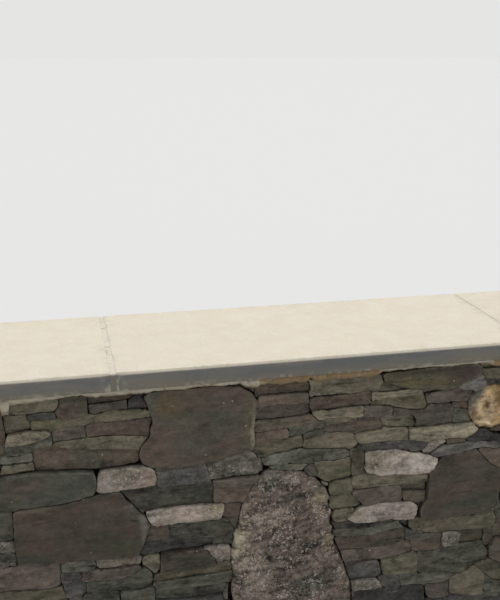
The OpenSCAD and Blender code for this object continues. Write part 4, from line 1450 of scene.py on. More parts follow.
@dataclass
class Courses:
    """Uneven rows of small stones, laid over a whole face of the wall."""

    sizes: WallSizes
    seed: int
    row: tuple[float, float] = (92.0, 150.0)
    panel: tuple[float, float] = (170.0, 420.0)
    stone_height: tuple[float, float] = (26.0, 46.0)

    def parts(self, rng: np.random.Generator, total: float, count: int, least: float) -> np.ndarray:
        """Splits a length unevenly.

        Args:
            rng: draws the parts.
            total: the length.
            count: how many parts.
            least: the smallest part.

        Returns:
            The edges of the parts.
        """
        shares = rng.uniform(0.5, 1.5, count)
        spans = least + (total - least * count) * shares / shares.sum()
        return np.concatenate([[0], np.cumsum(spans)])

    def cells(self) -> list[np.ndarray]:
        """Lays the rows from the ground to the coping.

        Returns:
            The outlines of the stones, in mm.
        """
        rng = np.random.default_rng(self.seed)
        boxes = []
        bottom, top = 0.0, self.sizes.top
        while bottom < top - 1:
            height = rng.uniform(*self.row)
            if top - bottom - height < self.row[0] * 0.7:
                height = top - bottom
            if height > self.row[1] * 1.25:
                height /= 2
            x = self.sizes.left - rng.uniform(0, 200)
            while x < self.sizes.right:
                width = rng.uniform(*self.panel)
                boxes += self.fill(rng, x, bottom, width, height)
                x += width
            bottom += height
        shapes = [self.shape(rng, *box) for box in boxes]
        return [shape for shape in shapes if area_of(shape) > 200]

    def fill(
        self, rng: np.random.Generator, x: float, z: float, width: float, height: float
    ) -> list[tuple[float, float, float, float]]:
        """Fills one panel with stones.

        Args:
            rng: draws them.
            x: the panel's left.
            z: its bottom.
            width: its width.
            height: its height.

        Returns:
            Boxes x, z, width, height.
        """
        boxes = []
        if rng.random() < 0.22:
            tall = rng.uniform(60, 120)
            boxes.append((x, z, tall, height))
            x, width = x + tall, width - tall
        count = max(1, int(round(height / rng.uniform(*self.stone_height))))
        levels = self.parts(rng, height, count, 15.0)
        for low, high in zip(levels, levels[1:]):
            number = max(1, int(round(width / rng.uniform(90, 230))))
            ends = self.parts(rng, width, number, 36.0)
            boxes += [(x + a, z + low, b - a, high - low) for a, b in zip(ends, ends[1:])]
        return boxes

    def shape(self, rng: np.random.Generator, x: float, z: float, width: float, height: float) -> np.ndarray:
        """Turns a stone's box into an uneven outline.

        Args:
            rng: draws the unevenness.
            x: the box's left.
            z: its bottom.
            width: its width.
            height: its height.

        Returns:
            The outline.
        """
        j = min(4.0, height * 0.13)
        slope = rng.uniform(-1, 1, 2) * j
        along = (0.0, 0.34, 0.68, 1.0)
        low = [(x + width * t, z + slope[0] * (t - 0.5) + rng.uniform(-j, j) * 0.5) for t in along]
        high = [(x + width * t, z + height + slope[1] * (t - 0.5) + rng.uniform(-j, j) * 0.5) for t in reversed(along)]
        shape = np.array(low + high)
        shape[[0, 7], 0] += rng.uniform(-1.5, 1.5) * j
        shape[[3, 4], 0] += rng.uniform(-1.5, 1.5) * j
        shape[[0, 3, 4, 7], 0] += rng.uniform(-j, j, 4)
        window = np.sin(np.pi * np.clip(shape[:, 1] / self.sizes.top, 0, 1)) ** 0.5
        shape[:, 1] += 17 * spread(shape, (250.0, 170.0), self.seed * 1.3) * window
        shape[:, 0] += 14 * spread(shape, (180.0, 130.0), self.seed * 2.1 + 5)
        shape[:, 1] = np.clip(shape[:, 1], 1.0, self.sizes.top)
        shape[:, 0] = np.clip(shape[:, 0], self.sizes.left + 20, self.sizes.right - 20)
        return anticlockwise(shape)


@dataclass(frozen=True)
class LargeStone:
    """A large stone of the photographed bay."""

    finish: Finish
    tone: float
    stains: tuple[Stain, ...] = ()


def read_large_stones() -> dict[str, LargeStone]:
    """Reads the large stones of the photographed bay.

    Returns:
        The stones by their nodes' names.
    """
    stones: dict[str, LargeStone] = {}
    for line in READ_LARGE_STONES.strip().splitlines():
        words = line.split()
        if words[0].isidentifier():
            name = words[0]
            stones[name] = LargeStone(Finish[words[1]], float(words[2]))
        else:
            *sizes, shade, amount = words
            stain = Stain(*map(float, sizes), shade, float(amount))
            stones[name] = replace(stones[name], stains=(*stones[name].stains, stain))
    return stones


PHOTO_STONES = read_large_stones()
SLOTS = {
    Finish.UMBER: "umber_stone", Finish.GREEN: "green_stone", Finish.OLIVE: "olive_stone",
    Finish.PALE: "pale_stone", Finish.TAN: "sandstone", Finish.BOULDER: "granite",
}


@dataclass
class FacePlan:
    """Lays out every stone of one face of the wall."""

    sizes: WallSizes
    side: Side
    seed: int
    large: dict[str, LargeStone | None] = field(default_factory=dict)
    palette: tuple[tuple[Finish, float], ...] = (
        (Finish.UMBER, 0.25), (Finish.OLIVE, 0.19), (Finish.GREEN, 0.19), (Finish.PURPLE, 0.13), (Finish.BUFF, 0.08),
        (Finish.BLUE, 0.08), (Finish.DARK, 0.04), (Finish.CREAM, 0.03), (Finish.PALE, 0.01),
    )
    claim_steps: tuple[float, ...] = (1.0, 2.5, 4.5, 6.5, 9.5)
    large_reach: float = 5.0
    large_proud: float = 4.0
    large_depth: float = 120.0
    large_grids: tuple[float, float] = (4.6, 14.0)
    grids: tuple[float, float] = (3.9, 13.0)
    large_joint: float = 0.9
    traced_joint: tuple[float, float] = (0.35, 0.9)
    laid_joint: tuple[float, float] = (0.8, 2.4)
    thinnest: tuple[float, float] = (2.2, 3.4)
    far_depth: float = 36.0

    def read_stones(self) -> list[Stone]:
        """Reads the small stones that were drawn one by one.

        Returns:
            The stones.
        """
        read: list[tuple[str, list[list[float]]]] = []
        for word in READ_STONES.split():
            if word[0].isalpha():
                read.append((word, []))
            else:
                read[-1][1].append([float(v) for v in word.split(",")])
        return [
            Stone(anticlockwise(np.array(pairs) + (0.0, FOOT)), LETTERS[head[0]], (int(head[1]) + 0.5) / 10)
            for head, pairs in read
        ]

    def finish_of(self, outline: np.ndarray, number: int) -> Finish:
        """Picks the finish of a large stone outside the photographed bay, from its shape.

        Args:
            outline: its outline.
            number: its number on this face.

        Returns:
            The finish.
        """
        wide, high = np.ptp(outline, axis=0)
        if high > 250:
            return Finish.BOULDER
        if wide < 150 and high > 100:
            return Finish.TAN
        if high < 78 and wide < 200:
            return Finish.PALE
        return (Finish.UMBER, Finish.GREEN, Finish.OLIVE)[number % 3]

    def fixed_stones(self, rng: np.random.Generator) -> list[Stone]:
        """Reads the large stones, named after their nodes, and the corner blocks.

        Args:
            rng: draws their tones.

        Returns:
            The stones.
        """
        fixed: list[Stone] = []
        for node, known in self.large.items():
            for outline in solid_outlines(node, self.side):
                kind = known.finish if known else self.finish_of(outline, len(fixed))
                tone = known.tone if known else float(rng.uniform(0.4, 0.58))
                fixed.append(Stone(outline, kind, tone, self.large_proud, name=node))
        for node in ("left_end_quoins", "right_end_quoins"):
            for x0, x1, z0, z1 in quoin_boxes(node):
                box = np.array([(x0, z0), (x1, z0), (x1, z1), (x0, z1)])
                box[:, 0] *= self.side.value
                fixed.append(Stone(anticlockwise(box), Finish.OLIVE, 0.5, name="quoin"))
        return fixed

    def layout(self) -> list[Stone]:
        """Lays out the whole face.

        Returns:
            Its stones, with the large ones named after their nodes.
        """
        rng = np.random.default_rng(self.seed)
        fixed = self.fixed_stones(rng)
        small = self.read_stones() if self.side is Side.FRONT else []
        cells = [Stone(c, Finish.UMBER, 0.5) for c in Courses(self.sizes, self.seed).cells()]
        first_small, first_cell = len(fixed), len(fixed) + len(small)
        everything = fixed + small + cells
        finishes, weights = zip(*self.palette)
        chances = np.array(weights) / np.sum(weights)
        claims = [(k, s.outline) for k, s in enumerate(fixed)]
        for step in self.claim_steps:
            claims += [(first_small + k, grow(s.outline, step)) for k, s in enumerate(small)]
        claims += [
            (k, grow(s.outline, self.large_reach)) for k, s in enumerate(fixed) if s.name in PHOTO_STONES
        ]
        claims += [(first_cell + k, s.outline) for k, s in enumerate(cells)]
        top = self.sizes.top + 8
        claims = [(k, np.column_stack([loop[:, 0], np.clip(loop[:, 1], 1.0, top)])) for k, loop in claims]
        result = []
        for number, shape in share_out(claims):
            source = everything[number]
            if source.name == "quoin":
                continue
            centre = shape.mean(0)
            near = self.side is Side.FRONT and IN_VIEW[0] < centre[0] < IN_VIEW[1]
            traced = number < first_cell
            if number < first_small:
                joint = self.large_joint
            elif traced:
                joint = self.traced_joint[0] + self.traced_joint[1] * rng.random() ** 2
            else:
                joint = rng.uniform(*self.laid_joint)
            loop = shrink(shape, joint)
            least = self.thinnest[0 if traced else 1]
            if loop is None or 2 * area_of(loop) / unroll(loop)[1][-1] < least:
                continue
            stone = replace(
                source, outline=loop, key=round(float(rng.uniform(0.1, 9.9)), 3),
                bay=self.sizes.bay_at(centre[0] * self.side.value), spacing=self.grids[0 if near else 1],
            )
            if not traced:
                stone.finish = finishes[int(rng.choice(len(finishes), p=chances))]
                stone.tone = float(rng.uniform(0.3, 0.7))
            if number >= first_small:
                stone.proud = float(np.clip(rng.normal(-3.5, 4.6), -13, 5))
                stone.depth = float(rng.uniform(60, 110)) if near else self.far_depth
                if near and not traced:
                    stone.proud -= 6.0
            else:
                stone.depth = self.large_depth
                stone.spacing = self.large_grids[0 if near else 1]
            result.append(stone)
        return result


@dataclass
class Stonework:
    """Both faces of the wall, stone by stone."""

    sizes: WallSizes
    shared: SharedEffects
    materials: dict[Finish, bpy.types.Material]

    def build(self) -> None:
        """Lays out, cuts and places every stone of the front and the back."""
        front: dict[str, LargeStone | None] = dict(PHOTO_STONES)
        front.update({f"front_large_stones_{k}": None for k in (1, 2, 4, 5)})
        back: dict[str, LargeStone | None] = {f"back_large_stones_{k}": None for k in range(1, 6)}
        for side, large, seed in ((Side.FRONT, front, 21), (Side.BACK, back, 44)):
            self.build_side(side, FacePlan(self.sizes, side, seed, large).layout())

    def dress(self, stone: Stone) -> dict[Finish, bpy.types.Material]:
        """Finds the materials for a stone's piece: a large stone with stains has its own.

        Args:
            stone: the piece's first stone.

        Returns:
            The material of each finish.
        """
        known = PHOTO_STONES.get(stone.name)
        if not known:
            return self.materials
        return {known.finish: FINISHES[known.finish].build(self.shared, f"{stone.name}_face", known.stains)}

    def build_side(self, side: Side, stones: list[Stone]) -> None:
        """Cuts the stones of one face and joins them, per bay and per large node.

        Args:
            side: the face of the wall.
            stones: its stones.
        """
        cutter = StoneCutter(self.sizes.half)
        word = side.name.lower()
        heaps: dict[str, Heap] = {}
        for stone in stones:
            label = f"{stone.name}_stone" if stone.name else f"{word}_stones_{stone.bay}"
            if label not in heaps:
                heaps[label] = Heap(label, side, self.dress(stone))
            shell = cutter.cut(stone)
            if shell:
                heaps[label].shells.append(shell)
        for heap in heaps.values():
            stone = heap.shells[0].stone
            slot = SLOTS.get(stone.finish, "fieldstone") if stone.name else "fieldstone"
            heap.build([stone.name or f"{word}_masonry_{stone.bay}"], slot)


class Trees:
    """The Geometry Nodes trees: the weathered block and the hearting rubble."""

    def __init__(self) -> None:
        """Builds both trees once."""
        self.block = self.build_block()
        self.hearting = self.build_hearting()

    def lump(self, g: Graph, place: Value, scale: float, seed: object, detail: float) -> Value:
        """Returns a noise from 0 to 1 that the seed moves."""
        inputs = {"Vector": place, "W": seed, "Scale": scale, "Detail": detail, "Roughness": 0.55}
        return g.out("ShaderNodeTexNoise", inputs, noise_dimensions="4D")

    def dress(self, g: Graph, shape: Value, material: Value) -> bpy.types.NodeTree:
        """Ends a tree: makes its instances real and sets the material."""
        real = g.out("GeometryNodeRealizeInstances", {0: shape})
        return g.close(Geometry=g.out("GeometryNodeSetMaterial", {"Geometry": real, "Material": material}))

    def build_block(self) -> bpy.types.NodeTree:
        """Builds the tree of a squared block with eased, chipped arrises and a worn surface.

        Returns:
            The tree.
        """
        sizes = ("Length", "Width", "Thickness", "Pitch", "Ease", "Wander", "Grit", "Chips", "Seed")
        g, s = start_group(
            "weathered_block", "GeometryNodeTree", Geometry="GEOMETRY", **dict.fromkeys(sizes, "VALUE"),
            Material="MATERIAL",
        )
        spans = [s[label] for label in sizes[:3]]
        counts = [g.math("ROUND", span / s["Pitch"] + 7.0) for span in spans]
        inputs = {"Size": g.joined(*spans), **{f"Vertices {axis}": n for axis, n in zip("XYZ", counts)}}
        cube = g.out("GeometryNodeMeshCube", inputs)
        moved, cores = [], []
        for span, count, part in zip(spans, counts, g.parts(g.out("GeometryNodeInputPosition"))):
            half = span * 0.5
            inner = half - span / (count - 1.0) * 3.0
            core = half - s["Ease"]
            size = g.math("ABSOLUTE", part)
            flat = g.window(size, 0.0, inner, 0.0, core, "LINEAR")
            edge = g.window(size, inner, half, 0.0, s["Ease"], "LINEAR")
            moved.append(g.math("SIGN", part) * (flat + edge))
            cores.append(core)
        held = [g.math("MAXIMUM", g.math("MINIMUM", axis, core), core * -1.0) for axis, core in zip(moved, cores)]
        held = g.joined(*held)
        away = g.vector("NORMALIZE", g.vector("SUBTRACT", g.joined(*moved), held))
        rounded = g.vector("ADD", held, g.scaled(away, s["Ease"]))
        slow = self.lump(g, rounded, 5.5, s["Seed"], 3.0) * s["Wander"]
        fine = self.lump(g, rounded, 62.0, s["Seed"], 4.0) * s["Grit"]
        steep = g.parts(g.vector("ABSOLUTE", away))
        most = g.math("MAXIMUM", steep[0], g.math("MAXIMUM", steep[1], steep[2]))
        corner = g.math("MULTIPLY", 1.0 - most, 3.4, True)
        flakes = g.window(self.lump(g, rounded, 34.0, s["Seed"] + 3.0, 2.0), 0.52, 0.72)
        worn = g.scaled(away, (slow + fine + corner * flakes * s["Chips"]) * -1.0)
        inputs = {"Geometry": cube, "Position": g.vector("ADD", rounded, worn)}
        shape = g.out("GeometryNodeSetPosition", inputs)
        for label, value in (("top", g.parts(away)[2]), ("rim", corner)):
            inputs = {"Geometry": shape, "Name": label, "Value": value}
            shape = g.out("GeometryNodeStoreNamedAttribute", inputs, data_type="FLOAT")
        return self.dress(g, g.out("GeometryNodeSetShadeSmooth", {0: shape}), s["Material"])

    def build_hearting(self) -> bpy.types.NodeTree:
        """Builds the tree that strews small angular stones over a surface.

        Returns:
            The tree.
        """
        g, s = start_group(
            "hearting_rubble", "GeometryNodeTree", Geometry="GEOMETRY", Density="VALUE", Least="VALUE", Most="VALUE",
            Seed="INT", Material="MATERIAL",
        )
        seed = {"Seed": s["Seed"]}
        inputs = {"Mesh": s["Geometry"], "Density": s["Density"], **seed}
        points = g.out("GeometryNodeDistributePointsOnFaces", inputs)
        ball = g.out("GeometryNodeMeshIcoSphere", {"Radius": 1.0, "Subdivisions": 2})
        where = g.out("GeometryNodeInputPosition")
        pushed = g.scaled(where, self.lump(g, where, 1.1, 0.0, 1.0) * 1.3 + 0.35)
        rock = g.out("GeometryNodeSetPosition", {"Geometry": ball, "Position": pushed})
        turn = g.out("FunctionNodeRandomValue", {1: (6.28, 6.28, 6.28), **seed}, data_type="FLOAT_VECTOR")
        size = g.out("FunctionNodeRandomValue", {2: s["Least"], 3: s["Most"], **seed}, 1, data_type="FLOAT")
        shade = g.out("FunctionNodeRandomValue", seed, 1, data_type="FLOAT")
        flat = g.scaled((1.5, 0.8, 0.7), size)
        inputs = {"Points": points, "Instance": rock, "Rotation": turn, "Scale": flat}
        marked = g.out("GeometryNodeInstanceOnPoints", inputs)
        for label in ("stone_key", "stone_tone"):
            inputs = {"Geometry": marked, "Name": label, "Value": shade}
            marked = g.out("GeometryNodeStoreNamedAttribute", inputs, data_type="FLOAT", domain="INSTANCE")
        return self.dress(g, marked, s["Material"])

    def grow(self, base: bpy.types.Mesh, tree: bpy.types.NodeTree, values: dict[str, object]) -> bpy.types.Mesh:
        """Runs a tree on a mesh.

        Args:
            base: the mesh that the modifier sits on.
            tree: the tree.
            values: its inputs by name.

        Returns:
            A plain mesh of the result.
        """
        obj = link(bpy.data.objects.new("growing", base))
        modifier = obj.modifiers.new("growth", "NODES")
        modifier.node_group = tree
        sockets = {item.name: item.identifier for item in tree.interface.items_tree if item.in_out == "INPUT"}
        for name, value in values.items():
            modifier[sockets[name]] = value
        graph = bpy.context.evaluated_depsgraph_get()
        mesh = bpy.data.meshes.new_from_object(obj.evaluated_get(graph), preserve_all_data_layers=True, depsgraph=graph)
        bpy.data.objects.remove(obj)
        return mesh

    def make_block(self, low: Vector, high: Vector, material: bpy.types.Material, **values: float) -> bpy.types.Mesh:
        """Makes a weathered block that fills a box.

        Args:
            low: the box's low corner, in metres.
            high: its high corner.
            material: the material.
            values: the tree's other inputs.

        Returns:
            The mesh.
        """
        size = high - low
        inputs = {"Length": size.x, "Width": size.y, "Thickness": size.z, "Material": material, **values}
        mesh = self.grow(bpy.data.meshes.new("seed"), self.block, inputs)
        mesh.transform(Matrix.Translation((low + high) / 2))
        return mesh


def mark(mesh: bpy.types.Mesh, **values: float) -> bpy.types.Mesh:
    """Gives every point of a mesh the same attribute values.

    Args:
        mesh: the mesh.
        values: a value for each attribute's name.

    Returns:
        The same mesh.
    """
    for label, value in values.items():
        data = mesh.attributes.get(label) or mesh.attributes.new(label, "FLOAT", "POINT")
        data.data.foreach_set("value", [value] * len(mesh.vertices))
    return mesh


def merge(name: str, meshes: list[bpy.types.Mesh]) -> bpy.types.Object:
    """Joins meshes, with their materials and attributes, into one object.

    Args:
        name: the object's name.
        meshes: the meshes.

    Returns:
        The object.
    """
    parts = [link(bpy.data.objects.new("part", mesh)) for mesh in meshes]
    active = {"active_object": parts[0], "object": parts[0]}
    with bpy.context.temp_override(**active, selected_editable_objects=parts, selected_objects=parts):
        bpy.ops.object.join()
    parts[0].name = parts[0].data.name = name
    return parts[0]


@dataclass(frozen=True)
class CopingFinish:
    """Bluestone with a pale cream top and dark grey edges: partly its flamed top and sawn edges, partly painted
    sunlight on the top and painted shade on the edges.
    """

    # Top shades: partly the flamed finish, partly painted sunlight. Edge shades: partly the sawn finish, partly painted
    # shade.
    top: tuple[str, str, str] = ("e2d7c3", "ddd2be", "e8dfcd")
    edge: tuple[str, str, str] = ("72716d", "696a69", "7c766b")
    stain: str = "7d735f"
    worn: str = "c6beac"
    drip: tuple[float, float] = (0.845, 0.815)

    def build(self, shared: SharedEffects) -> bpy.types.Material:
        """Makes the material.

        Args:
            shared: the shared groups.

        Returns:
            The material.
        """
        material, g = new_material("flamed_bluestone")
        place = g.out("ShaderNodeTexCoord", at="Object")
        key, up, rim = (g.attribute(label) for label in ("stone_key", "top", "rim"))
        spot = g.vector("ADD", place, g.joined(key, key, key))
        long_spot = g.stretch(spot, (0.5, 0.5, 2.2))
        cloud = g.window(g.noise(spot, 3.2, 3.0), 0.35, 0.65)
        mottle = g.window(g.noise(spot, 21.0, 4.0, 0.6), 0.38, 0.66)
        grain = g.noise(spot, 190.0, 4.0, 0.8)
        pits = g.window(g.noise(spot, 120.0, 3.0, 0.6), 0.60, 0.72)
        top = g.mix(cloud * 0.5, colour(self.top[0]), colour(self.top[1]))
        top = g.mix(mottle * 0.6, top, colour(self.top[2]))
        clear = g.window(g.noise(long_spot, 9.0, 4.0, 0.6), 0.40, 0.60)
        edge = g.mix(clear, colour(self.edge[0]), colour(self.edge[1]))
        apart = g.vector("ADD", long_spot, (4.4, 0, 1.2))
        edge = g.mix(g.window(g.noise(apart, 13.0, 5.0, 0.65, 0.4), 0.46, 0.64) * 0.7, edge, colour(self.edge[2]))
        low = g.window(g.parts(place)[2] + g.noise(long_spot, 9.0, 3.0) * 0.03, *self.drip)
        edge = g.mix(low * 0.5, edge, colour(self.stain))
        # Painted light: faces that look up take the sunlit top colour, the others the shaded edge colour.
        base = g.mix(g.window(up, 0.25, 0.55), edge, top)
        base = g.shade(base, 0.84 + grain * 0.32 - pits * 0.06)
        # Paler arrises: partly worn chips, partly a painted highlight.
        wear = g.group(shared.wear, Color=base, Worn=colour(self.worn), Rim=rim, Amount=0.5, Vector=spot)
        height = grain + g.noise(spot, 90.0, 4.0, 0.7) * 1.2
        g.surface(wear["Color"], 0.72 + grain * 0.2, height, 0.45, 0.0015)
        return material


@dataclass(frozen=True)
class MortarFinish:
    """Sandy mortar, stained in patches; a front colour, where given, is painted shade on the faces that do not look up.
    """

    name: str
    body: str
    light: str
    stain: str
    stained: float = 0.35
    sand: float = 0.5
    # Painted shade for the faces that do not look up, the grey of the shaded slab edges.
    front: str = ""
    rust: str = ""

    def build(self, shared: SharedEffects) -> bpy.types.Material:
        """Makes the material.

        Args:
            shared: the shared groups.

        Returns:
            The material.
        """
        material, g = new_material(self.name)
        place = g.out("ShaderNodeTexCoord", at="Object")
        patches = g.window(g.noise(place, 9.0, 4.0, 0.6), 0.36, 0.62)
        wet = 0.62 - 0.25 * self.stained, 0.72 - 0.12 * self.stained
        blots = g.window(g.noise(place, 36.0, 4.0, 0.65), *wet)
        sand = g.noise(place, 420.0, 3.0, 0.7)
        base = g.mix(patches, colour(self.body), colour(self.light))
        if self.rust:
            rusty = g.attribute("rust") + (g.noise(place, 26.0, 4.0, 0.65) - 0.5) * 1.4
            base = g.mix(g.window(rusty, 0.2, 0.8), base, colour(self.rust))
            # Darker towards the bottom of the strip.
            low = g.attribute("low") + (g.noise(place, 60.0, 4.0, 0.65) - 0.5)
            base = g.mix(g.window(low, 0.35, 0.95) * 0.75, base, colour(self.stain))
        base = g.mix(blots * 0.7, base, colour(self.stain))
        base = g.shade(base, 1.0 - self.sand * 0.25 + sand * (self.sand * 0.5))
        # Painted shade: faces that do not look up take the front colour.
        if self.front:
            base = g.mix(g.window(g.attribute("top"), 0.7, 0.3), base, colour(self.front))
        base = g.group(shared.deep_darkening, Color=base, Recess=g.attribute("recess"), Vector=place)["Color"]
        g.surface(base, 0.92, sand + g.noise(place, 80.0, 4.0, 0.7) * 1.5, 0.6, 0.002, 0.2)
        return material


@dataclass
class Coping:
    """The slabs, the mortar between them and the mortar under them."""

    sizes: WallSizes
    trees: Trees
    slab: bpy.types.Material
    joint: bpy.types.Material
    bed: bpy.types.Material
    arris: float = 0.0028
    bed_read: tuple[tuple[float, float, float], ...] = (
        (-900, 15, 0.1), (-822, 17, 0.0), (-819, 44, 0.0), (-802, 44, 0.0), (-798, 20, 0.0),
        (-760, 19, 0.1), (-700, 16, 0.2), (-230, 16, 0.0), (-215, 26, 0.0), (-192, 28, 0.1),
        (-180, 22, 0.6), (-60, 22, 0.9), (-45, 14, 0.9), (-36, 24, 0.7), (140, 23, 0.7),
        (152, 13, 0.3), (450, 13, 0.1), (480, 22, 0.8), (600, 22, 0.8),
    )

    def build(self) -> None:
        """Builds every part of the coping."""
        for number in range(1, 6):
            self.build_slab(number)
        for number in range(1, 5):
            self.build_joint(number)
        self.build_bed()

    def build_slab(self, number: int) -> None:
        """Builds one slab in the box of its node.

        Args:
            number: its number, from 1 at the left.
        """
        name = f"coping_slab_{number}"
        pitch = 0.0125 if number in (2, 3) else 0.02
        mesh = self.trees.make_block(
            *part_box(name), self.slab, Pitch=pitch, Ease=self.arris, Wander=0.0012, Grit=0.0008, Chips=0.0020,
            Seed=3.7 * number,
        )
        mark(mesh, stone_key=float(number) * 1.9)
        place(bpy.data.objects.new(f"flamed_slab_{number}", mesh), [name], "coping_bluestone")

    def build_joint(self, number: int) -> None:
        """Builds the mortar of one slab joint.

        Args:
            number: its number, from 1 at the left.
        """
        name = f"coping_joint_{number}"
        low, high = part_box(name)
        reach = Vector((0.005, 0.0008, -0.0006))
        mesh = self.trees.make_block(
            low - reach, high + reach, self.joint, Pitch=0.007, Ease=0.002, Wander=0.0004, Grit=0.0007, Chips=0.0,
            Seed=8.1 * number,
        )
        mark(mesh, recess=0.0)
        place(bpy.data.objects.new(f"slab_joint_{number}", mesh), [name], "joint_mortar")

    def build_bed(self) -> None:
        """Builds the bed: a strip under each edge of the coping with a ragged lower edge."""
        top = self.sizes.coping_bottom
        start, end = self.sizes.left + 4, self.sizes.right - 4
        rows: list[tuple[float, ...]] = []
        faces: list[tuple[int, ...]] = []
        for side in (1, -1):
            middle = np.arange(-910, 580, 4.0 if side == 1 else 12.0)
            xs = np.concatenate([np.arange(start, -910, 12.0), middle, np.linspace(580, end, 180)])
            line = np.stack([xs, np.zeros_like(xs)], 1)
            hang = 17 + 5 * spread(line, 130.0, 1.7 * side) + 5 * spread(line, 34.0, 7.1 * side)
            rust = 0.45 + 0.8 * spread(line, 260.0, 3.3 * side)
            if side == 1:
                marks, read, tint = zip(*self.bed_read)
                near = (xs > marks[0]) & (xs < marks[-1])
                hang[near] = np.interp(xs[near], marks, read)
                rust[near] = np.interp(xs[near], marks, tint)
            hang += 3.5 * spread(line, 26.0, 5.5 * side) + 3.0 * spread(line, 10.0, 4.4 * side)
            lip = 3.5 + 2.5 * spread(line, 60.0, 9.3 * side) + 1.6 * spread(line, 13.0, 2.2 * side)
            face = self.sizes.half + np.clip(lip, 0.0, 8.0)
            first = len(rows)
            for x, h, f, r in zip(xs, np.clip(hang, 12.0, 46.0), face, np.clip(rust, 0, 1)):
                # Each profile point: how far out, how high, how dark deep in the joint and how low it counts
                profile = (
                    (150.0, 0.4, 0.3, 0.0), (f - 1.5, 0.4, 0.0, 0.0), (f, -h * 0.35, 0.0, 0.25),
                    (f - 0.6, -h * 0.75, 0.0, 0.7), (f - 4.0, -h, 0.1, 1.0), (190.0, -max(h, 13.0), 1.0, 1.0),
                    (150.0, -13.0, 1.0, 1.0),
                )
                rows += [(x * side, -y * side, top + z, deep_darkening, low, r) for y, z, deep_darkening, low in profile]
            count = 7
            for a in range(first, len(rows) - count, count):
                faces += [(a + j, a + n, a + count + n, a + count + j) for j, n in ring_pairs(count)]
            faces.append(tuple(first + j for j in reversed(range(count))))
            faces.append(tuple(len(rows) - count + j for j in range(count)))
        data = np.array(rows)
        mesh = new_mesh("ragged_bed", data[:, :3], faces, recess=data[:, 3], low=data[:, 4], rust=data[:, 5])
        mesh.materials.append(self.bed)
        mesh.update()
        place(bpy.data.objects.new("ragged_bed", mesh), ["bedding_mortar"], "bedding_mortar")


@dataclass
class Quoins:
    """The corner blocks at both ends."""

    sizes: WallSizes
    trees: Trees
    materials: dict[Finish, bpy.types.Material]
    joint: float = 3.0
    seed: int = 5

    def build(self) -> None:
        """Builds the blocks of each end as one piece."""
        rng = np.random.default_rng(self.seed)
        kinds = (Finish.OLIVE, Finish.UMBER, Finish.BUFF, Finish.GREEN, Finish.PURPLE, Finish.OLIVE)
        for word in ("left", "right"):
            meshes = []
            for number, (x0, x1, z0, z1) in enumerate(quoin_boxes(f"{word}_end_quoins")):
                half = self.sizes.half + 5
                cuts = [-half, half] if number % 2 == 0 else [-half, float(rng.uniform(-60, 60)), half]
                for y0, y1 in zip(cuts, cuts[1:]):
                    j = self.joint / 2
                    low = Vector((x0 + (j if x0 > self.sizes.left + 1 else 0), y0 + j, z0 + (j if z0 > 1 else 0))) * MM
                    high = Vector((x1 - (j if x1 < self.sizes.right - 1 else 0), y1 - j, z1 - j)) * MM
                    kind = kinds[int(rng.integers(len(kinds)))]
                    seed = float(rng.uniform(0, 90))
                    mesh = self.trees.make_block(
                        low, high, self.materials[kind], Pitch=0.018, Ease=0.006, Wander=0.008, Grit=0.004,
                        Chips=0.007, Seed=seed,
                    )
                    meshes.append(mark(mesh, stone_key=seed / 9, stone_tone=float(rng.uniform(0.4, 0.6)), recess=0.0))
            place(merge(f"{word}_corner_blocks", meshes), [f"{word}_end_quoins"], "olive_stone")


@dataclass
class Hearting:
    """The rubble between the two faces, seen only down the joints."""

    sizes: WallSizes
    trees: Trees
    material: bpy.types.Material
    core_half: float = 186.0
    inset: float = 30.0
    density: float = 70.0

    def build(self) -> None:
        """Builds the dark core and the small stones packed against it."""
        left, right, top = self.sizes.left, self.sizes.right, self.sizes.top
        low = Vector((left + self.inset, -self.core_half, 0)) * MM
        high = Vector((right - self.inset, self.core_half, top + 4)) * MM
        core = self.trees.make_block(
            low, high, self.material, Pitch=0.045, Ease=0.01, Wander=0.022, Grit=0.012, Chips=0.0, Seed=4.0
        )
        mark(core, stone_key=1.0, stone_tone=0.45, recess=0.45)
        place(bpy.data.objects.new("hearting_core", core), [], "fieldstone")
        for side, seed in ((Side.FRONT, 3), (Side.BACK, 8)):
            y = -side.value * (self.core_half - 14)
            ends = (left + 60, 35), (right - 60, 35), (right - 60, top - 35), (left + 60, top - 35)
            sheet = new_mesh("sheet", [(x, y, z) for x, z in ends], [(0, 1, 2, 3)])
            values = {
                "Density": self.density, "Least": 0.010, "Most": 0.016, "Seed": seed, "Material": self.material,
            }
            mesh = self.trees.grow(sheet, self.trees.hearting, values)
            mark(mesh, recess=0.35, rim=0.0)
            place(bpy.data.objects.new(f"{side.name.lower()}_pinnings", mesh), [], "fieldstone")


def make_camera() -> None:
    """Puts the camera where the photograph was taken from."""
    data = bpy.data.cameras.new("camera")
    data.lens = 52.83
    data.sensor_width = 36.0
    data.clip_end = 200.0
    camera = link(bpy.data.objects.new("camera", data))
    pitch, roll, yaw = 0.2935, 0.0035, 0.2248
    forward = Vector((math.sin(yaw) * math.cos(pitch), math.cos(yaw) * math.cos(pitch), -math.sin(pitch)))
    right = Vector((math.cos(yaw), -math.sin(yaw), 0))
    up = right.cross(forward)
    tilted = right * math.cos(roll) + up * math.sin(roll)
    up = up * math.cos(roll) - right * math.sin(roll)
    turn = Matrix((tilted, up, -forward)).transposed().to_4x4()
    camera.matrix_world = Matrix.Translation((-0.6708, -2.2361, 1.634)) @ turn
    bpy.context.scene.camera = camera


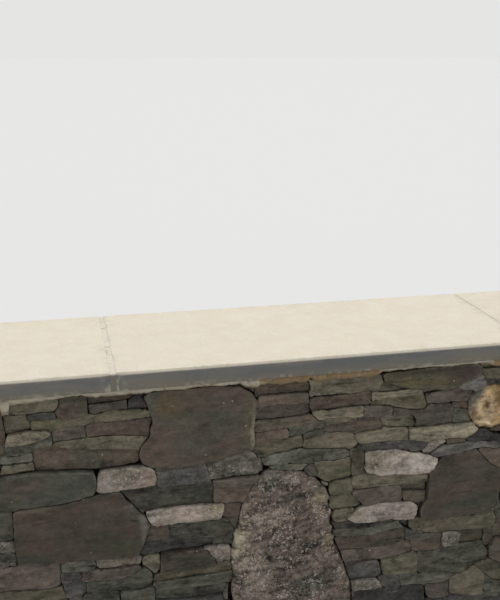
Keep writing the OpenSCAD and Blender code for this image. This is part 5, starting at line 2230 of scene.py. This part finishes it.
def make_stage() -> None:
    """Makes the pale floor, the plain world and the soft lights."""
    far, low = 60000.0, -1.0
    corners = [(-far, -far, low), (far, -far, low), (far, far, low), (-far, far, low)]
    mesh = new_mesh("floor", corners, [(0, 1, 2, 3)])
    material = bpy.data.materials.new("floor_paper")
    material.use_nodes = True
    shader = material.node_tree.nodes["Principled BSDF"]
    shader.inputs["Base Color"].default_value = (0.78, 0.77, 0.75, 1)
    shader.inputs["Roughness"].default_value = 0.95
    mesh.materials.append(material)
    link(bpy.data.objects.new("floor", mesh))
    world = bpy.data.worlds.new("studio")
    bpy.context.scene.world = world
    world.use_nodes = True
    world.node_tree.nodes.clear()
    g = Graph(world.node_tree)
    rise = g.parts(g.out("ShaderNodeTexCoord", at="Generated"))[2]
    glow = g.window(rise, 0.0, 0.85, 0.30, 0.98)
    sky = g.out("ShaderNodeBackground", {0: (0.93, 0.96, 1.0, 1), 1: glow})
    paper = g.out("ShaderNodeBackground", {0: (0.785, 0.790, 0.776, 1), 1: 1.0})
    seen = g.out("ShaderNodeLightPath", at="Is Camera Ray")
    g.add("ShaderNodeOutputWorld", {0: g.out("ShaderNodeMixShader", {0: seen, 1: sky, 2: paper})})
    data = bpy.data.lights.new("key", "SUN")
    data.energy = 1.0
    data.angle = 0.5
    data.color = (1.0, 0.95, 0.87)
    key = link(bpy.data.objects.new("key", data))
    key.rotation_euler = (math.radians(-38), math.radians(14), 0)
    bpy.context.scene.view_settings.view_transform = "Standard"


def main() -> None:
    """Builds the wall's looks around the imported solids."""
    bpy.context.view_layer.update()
    sizes = WallSizes.read()
    shared = SharedEffects()
    materials = {finish: look.build(shared, finish.value) for finish, look in FINISHES.items()}
    trees = Trees()
    slab = CopingFinish().build(shared)
    # The joint's front colour is painted shade.
    joint = MortarFinish("joint_mortar", "d9d0bf", "e2dacb", "b5a78c", front="7b766a").build(shared)
    bed = MortarFinish("bedding_mortar", "b3ab98", "c6bfac", "7a6b55", rust="967d5d").build(shared)
    Coping(sizes, trees, slab, joint, bed).build()
    Quoins(sizes, trees, materials).build()
    Hearting(sizes, trees, materials[Finish.DARK]).build()
    Stonework(sizes, shared, materials).build()
    make_camera()
    make_stage()


if __name__ == "__main__":
    main()
